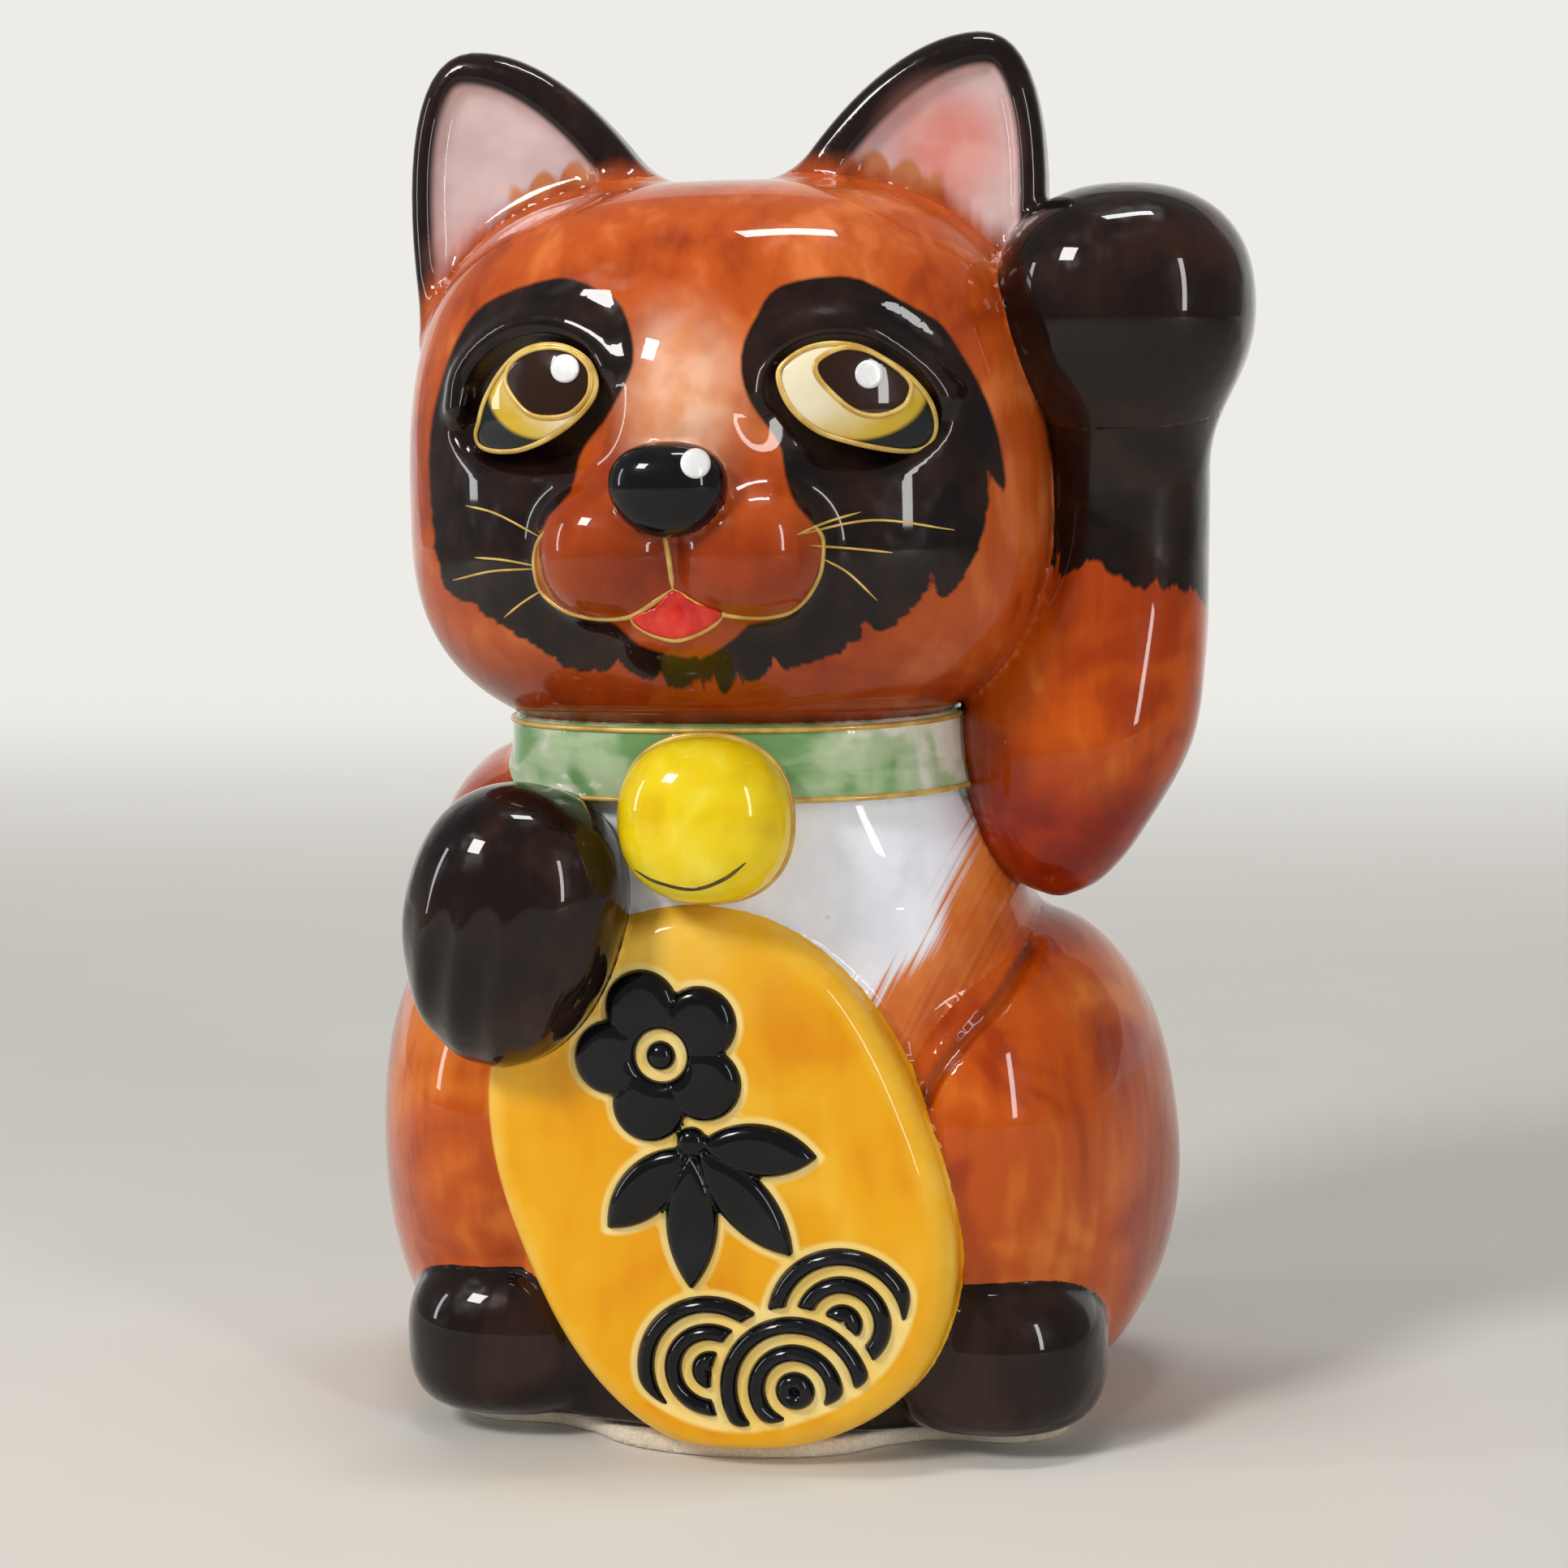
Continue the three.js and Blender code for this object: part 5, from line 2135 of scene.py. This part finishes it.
        def paint(points: Array, normals: Array) -> Paint:
            """Marks the dark mask, the painted highlight on the bridge of the nose, and the painted shade
            under the cheeks and round the lips.

            Args:
                points: The points.
                normals: Their outward directions.

            Returns:
                The numbers on the points, by name.
            """
            seen = bench.camera.pixels(points)

            def past(middle: Spot, radius: Spot) -> Array:
                """Measures the seen points against an oval on the photograph, as a share of its size."""
                return np.hypot(*((seen - middle) / radius).T) - 1

            facing = (normals * (bench.camera.place() - points)).sum(1) > 0
            ahead = self.centre[1] - points[:, 1]
            lead = seen - self.face_middle
            low = np.clip((seen[:, 1] - self.hair_from) / self.hair_over, self.hair_least, 1)
            on_muzzle = past(self.muzzle_middle, self.muzzle_radius) < 0
            # painted highlight on the bridge of the nose
            light = past(self.glow_middle, self.glow_radius) * self.glow_reach
            # painted shade round the lips
            lips = past(self.pool_middle, self.pool_radius) * self.glow_reach
            return {
                "mask": np.where(facing & (ahead > -self.mask_back), mask(points), AWAY),
                "mask_run": self.face_radius * np.arctan2(lead[:, 0], lead[:, 1]),
                "mask_hair": np.where(on_muzzle, self.muzzle_hair, low),
                "glow": np.where(ahead > 0, light, AWAY),
                "pool": np.minimum(points[:, 2] - self.pool_up, np.where(ahead > 0, lips, AWAY)),
            }

        bench.cast("face_and_crown", clay.casting("head"), HEAD_GLAZE, ["head_shell", "muzzle"], paint=paint)
        nose = clay.forms["nose"]
        bench.cast("nose_tip", clay.casting("nose"), INK_GLAZE, ["nose"], pitch=0.5)
        dot = circle(self.nose_dot, self.dot_radius)
        bench.patch("nose_light", nose, dot, self.enamel, WHITE_DOT, ["nose"])
        tongue = smoothed(self.tongue, closed=True, cuts=3)
        bench.patch("tongue", self.measure, tongue, self.enamel, RED_ENAMEL, ["muzzle"])
        lips = [bench.drawn(self.measure, lip) for lip in self.lips]
        bench.beads("lip_lines", lips, self.lip_half, self.lip_height, GOLD_LINE)
        whiskers = [bench.drawn(self.measure, whisker, cuts=8) for whisker in self.whiskers]
        bench.beads("whiskers", whiskers, self.whisker_half, self.whisker_height, GOLD_LINE)


def circle(middle: Spot, radius: float, cuts: int = 36) -> Array:
    """Draws a round outline on the photograph."""
    angles = np.linspace(0, 2 * math.pi, cuts, endpoint=False)
    return np.array(middle) + radius * np.stack([np.cos(angles), np.sin(angles)], axis=1)


@dataclass
class Eye:
    """One painted eye with its gold outlines and its light."""

    side: Side
    outline: Pixels
    iris: Pixels
    ball_middle: Spot
    ball_radius: Spot
    light: Spot
    light_radius: int = 18
    light_height: float = 0.4
    line_half: float = 0.35
    line_height: float = 0.2
    edge: float = 0.8
    sink: float = 2.5  # how far the eye runs on inside the head
    x: float = 19.8
    offset: float = 0.8
    up: float = 135.6
    half: Place = (12.6, 6.0, 9.6)
    proud: float = 1.3
    turn: float = 26.0
    socket_half: Place = (12.8, 3.2, 9.4)
    socket_lift: float = 1.2

    def axes(self) -> Array:
        """The eye's own axes, turned to the side of the face."""
        return turned(toe_in=self.side.value * self.turn)

    def socket(self, head: Head) -> Egg:
        """The bowl that the eye sits in."""
        x, y = self.side.value * self.x + self.offset, head.skull_front(self.x, self.up)
        return lump((x, y, self.up + self.socket_lift), self.socket_half, self.axes())

    def dome(self, head: Head) -> Egg:
        """The eye's dome before it is cut to its outline.

        Args:
            head: The head that carries it.

        Returns:
            The dome.
        """
        x, y = self.side.value * self.x + self.offset, head.skull_front(self.x, self.up)
        back = self.half[1] - self.proud
        return lump((x, y + back, self.up), self.half, self.axes())

    def build(self, bench: Workbench, head: Head) -> None:
        """Makes the eye, its gold lines and its white light.

        Args:
            bench: The workbench.
            head: The head that carries it.
        """
        word, node = self.side.word, f"{self.side.word}_eye"
        dome, camera = self.dome(head), bench.camera
        outline = smoothed(self.outline, closed=True, cuts=4)
        rim = camera.prism(outline)
        iris = camera.prism(smoothed(self.iris, closed=True, cuts=4))

        def measure(points: Array) -> Array:
            """Measures points against the eye, which ends a little way inside the head."""
            ball = carved(dome(points), rim(points), self.edge)
            return np.maximum(ball, -(head.measure(points) + self.sink))

        def paint(points: Array, normals: Array) -> Paint:
            """Marks the iris, the ball, and how low and how far out on the eye each point is.

            Args:
                points: The points.
                normals: Their outward directions; not used.

            Returns:
                The numbers on the points, by name.
            """
            lead = (camera.pixels(points) - self.ball_middle) / self.ball_radius
            ball = (np.hypot(*lead.T) - 1) * min(self.ball_radius) * camera.distance / camera.focal
            aside, low = lead.T
            return {"iris": iris(points), "ball": ball, "low": low, "aside": self.side.value * aside}

        bench.cast(f"{word}_eye_dome", measure, EyeGlaze(), [node], pitch=0.35, paint=paint, margin=5.0)
        lines = [bench.drawn(dome, self.outline, True), bench.drawn(dome, self.iris, True)]
        bench.beads(f"{word}_eye_lines", lines, self.line_half, self.line_height, GOLD_LINE)
        dot = circle(self.light, self.light_radius)
        bench.patch(f"{word}_eye_light", dome, dot, self.light_height, WHITE_DOT, [node])


EYES = (
    Eye(
        Side.LEFT,
        outline=(
            (959, 459), (972, 442), (997, 428), (1028, 423), (1061, 428), (1094, 445), (1122, 465),
            (1144, 491), (1153, 516), (1151, 537), (1138, 552), (1115, 556), (1082, 552), (1046, 544),
            (1010, 532), (982, 511), (965, 486),
        ),
        iris=(
            (1005, 448), (1020, 435), (1041, 428), (1066, 431), (1087, 441), (1107, 455), (1120, 468),
            (1123, 481), (1115, 499), (1092, 511), (1066, 511), (1041, 499), (1010, 468),
        ),
        ball_middle=(1051, 478),
        ball_radius=(92, 64),
        light=(1071, 461),
    ),
    Eye(
        Side.RIGHT,
        outline=(
            (589, 522), (597, 493), (615, 460), (638, 436), (666, 425), (696, 427), (722, 442), (734, 465),
            (732, 486), (719, 506), (696, 527), (668, 544), (638, 555), (610, 556), (592, 550), (586, 537),
        ),
        iris=(
            (622, 468), (632, 445), (653, 432), (679, 428), (704, 433), (722, 448), (728, 465), (724, 488),
            (704, 509), (679, 515), (653, 511), (634, 493),
        ),
        ball_middle=(668, 483),
        ball_radius=(66, 58),
        light=(696, 454),
    ),
)


@dataclass
class Ear:
    """One ear: a thick leaf on the crown, dished in front and painted pale inside."""

    side: Side
    out: float = 40.0
    inner: float = 9.0
    tip: float = 33.0
    top: float = 180.5
    crown: float = 163.0
    root: float = 143.0
    outer_swell: float = 2.5
    outer_drop: float = 20.0
    tip_swell: float = 9.0
    inner_swell: float = 6.0
    inner_rise: float = 9.0
    middle_y: float = -9.0
    thick: float = 8.5
    taper: float = 0.42  # share of the thickness that is gone at the tip
    edge: float = 2.3
    rim: float = 4.2
    dish: float = 2.6
    dish_out: float = 1.0  # the dish lies this far to the ear's outer side
    dish_edge: float = 1.6
    front_lean: float = 0.1  # how far back the skin may lean and still be the ear's front
    root_reach: float = 2.4  # how far the crown's brown runs up the ear
    cuts: int = 16  # points on each of the two curves of the outline
    blush_at: Pair = (29.0, 166.0)
    blush_radius: float = 6.5
    dab_from: float = 1.6  # the brush dabs start this far over the crown
    dab_rise: float = 3.0
    dab_pitch: float = 4.3
    dab_reach: float = 19.3  # from the ear's inner root

    def outline(self) -> Array:
        """Draws the ear from its outer root over the tip to its inner root.

        Returns:
            Its corners in the plane of the face.
        """
        sign = self.side.value
        flank = self.out + self.outer_swell
        tip = (self.tip, self.top)
        first = ((self.out, self.root), (flank, self.top - self.outer_drop), (flank, self.top), tip)
        fall = (self.inner + self.inner_swell, self.crown + self.inner_rise)
        second = (tip, (self.tip - self.tip_swell, self.top), fall, (self.inner, self.crown))
        corners = []
        for handles in (first, second):
            for s in np.linspace(0, 1, self.cuts, endpoint=False):
                weights = ((1 - s) ** 3, 3 * s * (1 - s) ** 2, 3 * s**2 * (1 - s), s**3)
                corners.append(sum(w * np.array(p) for w, p in zip(weights, handles)))
        corners += [np.array((self.inner, self.crown)), np.array((self.inner, self.root))]
        return np.array(corners) * (sign, 1)

    def leaf(self, points: Array, out: float = 0.0) -> Array:
        """Measures points against the ear's outline in the plane of the face, moved out by some way."""
        return outline_distance(points[:, [0, 2]] - (self.side.value * out, 0), self.drawn)

    def measure(self, points: Array) -> Array:
        """Measures points against the dished ear.

        Args:
            points: The points.

        Returns:
            Their distances, negative inside.
        """
        flat = self.leaf(points)
        depth = points[:, 1] - self.middle_y
        share = np.clip((points[:, 2] - self.root) / (self.top - self.root), 0, 1)
        half = self.thick / 2 * (1 - self.taper * share**2)
        solid = rounded(flat, np.abs(depth) - half, self.edge)
        inner = self.leaf(points, self.dish_out) + self.rim
        dish = rounded(inner, depth + half - self.dish, self.dish)
        return carved(solid, -dish, self.dish_edge)

    def shape(self, bench: Workbench) -> None:
        """Adds the ear to the clay.

        Args:
            bench: The workbench.
        """
        self.drawn = self.outline()
        name = f"{self.side.word}_ear"
        bench.clay.forms[name] = self.measure
        bench.clay.join(name, "head", reach=4.0)

    def build(self, bench: Workbench) -> None:
        """Makes the ear.

        Args:
            bench: The workbench.
        """
        name = f"{self.side.word}_ear"
        crown = bench.clay.forms["head"]

        def paint(points: Array, normals: Array) -> Paint:
            """Marks the pale inside, its blush, the brush dabs, and the brown of the crown at the root.

            Args:
                points: The points.
                normals: Their outward directions.

            Returns:
                The numbers on the points, by name.
            """
            front = np.where(normals[:, 1] < self.front_lean, 0.0, BEHIND)
            flat = points[:, [0, 2]] * (self.side.value, 1)
            blush = np.hypot(*(flat - self.blush_at).T) - self.blush_radius
            inner = self.leaf(points, self.dish_out) + self.rim
            run = flat[:, 0] - self.inner
            scallop = self.dab_rise * np.sqrt(np.abs(np.sin(math.pi * run / self.dab_pitch)))
            dabs = np.maximum(crown(points) - self.dab_from - scallop, run - self.dab_reach)
            return {
                "inner": inner + front,
                "blush": np.maximum(blush, inner) + front,
                "dabs": np.maximum(dabs, inner) + front,
                "root": crown(points) - self.root_reach,
                "root_run": points[:, 0],
                "root_hair": np.ones(len(points)),
            }

        bench.cast(f"{name}_leaf", bench.clay.casting(name), EAR_GLAZE, [name], pitch=0.7, paint=paint)


@dataclass(frozen=True)
class Lamp:
    """One soft lamp: its place and size in metres, its power in watts and its colour."""

    name: str
    place: Place
    size: Pair
    watts: float
    tone: Colour

    def hang(self, aim: Place) -> None:
        """Hangs the lamp so that it looks at a place.

        Args:
            aim: The place.
        """
        data = bpy.data.lights.new(self.name, "AREA")
        data.shape = "RECTANGLE"
        data.size, data.size_y = self.size
        data.energy = self.watts
        data.color = self.tone
        lamp = bpy.data.objects.new(self.name, data)
        bpy.context.scene.collection.objects.link(lamp)
        lamp.location = self.place
        lamp.rotation_euler = (Vector(aim) - Vector(self.place)).to_track_quat("-Z", "Y").to_euler()


@dataclass
class Studio:
    """A pale sweep, soft lamps and an even surround."""

    floor_width: float = 3.2
    floor_front: float = -1.6
    bend_at: float = 0.9
    bend_radius: float = 0.5
    bend_cuts: int = 16
    wall_height: float = 1.8
    floor_tone: Colour = srgb(218, 215, 208)
    floor_shade: Colour = srgb(212, 209, 202)
    floor_cloud: float = 40.0
    back_tone: Colour = srgb(238, 236, 231)
    back_from: float = 0.1
    back_full: float = 1.0
    surround: float = 0.28
    surround_tone: Colour = (1.0, 0.99, 0.97)
    aim: Place = (0.0, 0.0, 0.09)
    lamps: tuple[Lamp, ...] = (
        Lamp("key_box", (-0.55, -0.75, 0.8), (0.24, 0.24), 7.2, (1.0, 0.98, 0.95)),
        Lamp("side_strip", (0.74, -0.72, 0.36), (0.08, 0.6), 3.0, (1.0, 0.98, 0.96)),
        Lamp("window_strip", (-0.95, -0.3, 0.34), (0.08, 0.5), 1.8, (0.94, 0.97, 1.0)),
        Lamp("top_box", (0.05, -0.1, 0.95), (0.3, 0.08), 2.4, (0.97, 0.98, 1.0)),
    )

    def sweep(self) -> None:
        """Makes the floor that bends up into a backdrop."""
        angles = np.linspace(0, math.pi / 2, self.bend_cuts)
        profile = [(self.floor_front, 0.0)]
        for a in angles:
            across, up = math.sin(a), 1 - math.cos(a)
            profile.append((self.bend_at + self.bend_radius * across, self.bend_radius * up))
        profile.append((self.bend_at + self.bend_radius, self.wall_height))
        half = self.floor_width / 2
        points = [(x, y, z) for y, z in profile for x in (-half, half)]
        faces = [(2 * i, 2 * i + 1, 2 * i + 3, 2 * i + 2) for i in range(len(profile) - 1)]
        mesh = bpy.data.meshes.new("sweep")
        mesh.from_pydata(points, [], faces)
        mesh.shade_smooth()
        floor = bpy.data.objects.new("sweep", mesh)
        bpy.context.scene.collection.objects.link(floor)
        shader = Shader("sweep_paper")
        tone = shader.mix(shader.noise(self.floor_cloud), self.floor_tone, self.floor_shade)
        away = Value(shader, shader.node("ShaderNodeSeparateXYZ", {}, {0: shader.place}).outputs["Y"])
        shader.backlit(away.between(self.back_from, self.back_full), self.back_tone)
        floor.data.materials.append(shader.finish({"Roughness": 0.9, "Base Color": tone}))
        floor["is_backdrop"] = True

    def build(self) -> None:
        """Makes the sweep, the lamps and the surround."""
        self.sweep()
        for lamp in self.lamps:
            lamp.hang(self.aim)
        world = bpy.data.worlds.new("surround")
        bpy.context.scene.world = world
        world.use_nodes = True
        backing = world.node_tree.nodes["Background"]
        backing.inputs["Color"].default_value = (*self.surround_tone, 1)
        backing.inputs["Strength"].default_value = self.surround
        bpy.context.scene.view_settings.view_transform = "Standard"


def main() -> None:
    """Builds the figure's sub-assemblies in order."""
    logging.basicConfig(level=logging.INFO, format="%(name)s %(message)s")
    bench = Workbench()
    bench.camera.make(bench.shift)
    head = Head()
    parts = [Trunk(), CoinPlate(), Collar(), Arms(), head]
    parts += [HindLeg(side) for side in Side]
    parts += [Ear(Side.LEFT), Ear(Side.RIGHT, blush_at=(33.0, 154.0), blush_radius=3.0)]
    for part in parts:
        part.shape(bench)
    for part in parts:
        part.build(bench)
    for eye in EYES:
        eye.build(bench, head)
    Stopper().build(bench)
    Studio().build()
    boxes = {"cad": CAD_BOX, "visual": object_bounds()}
    {key: [list(corner) for corner in box] for key, box in boxes.items()}


if __name__ == "__main__":
    main()
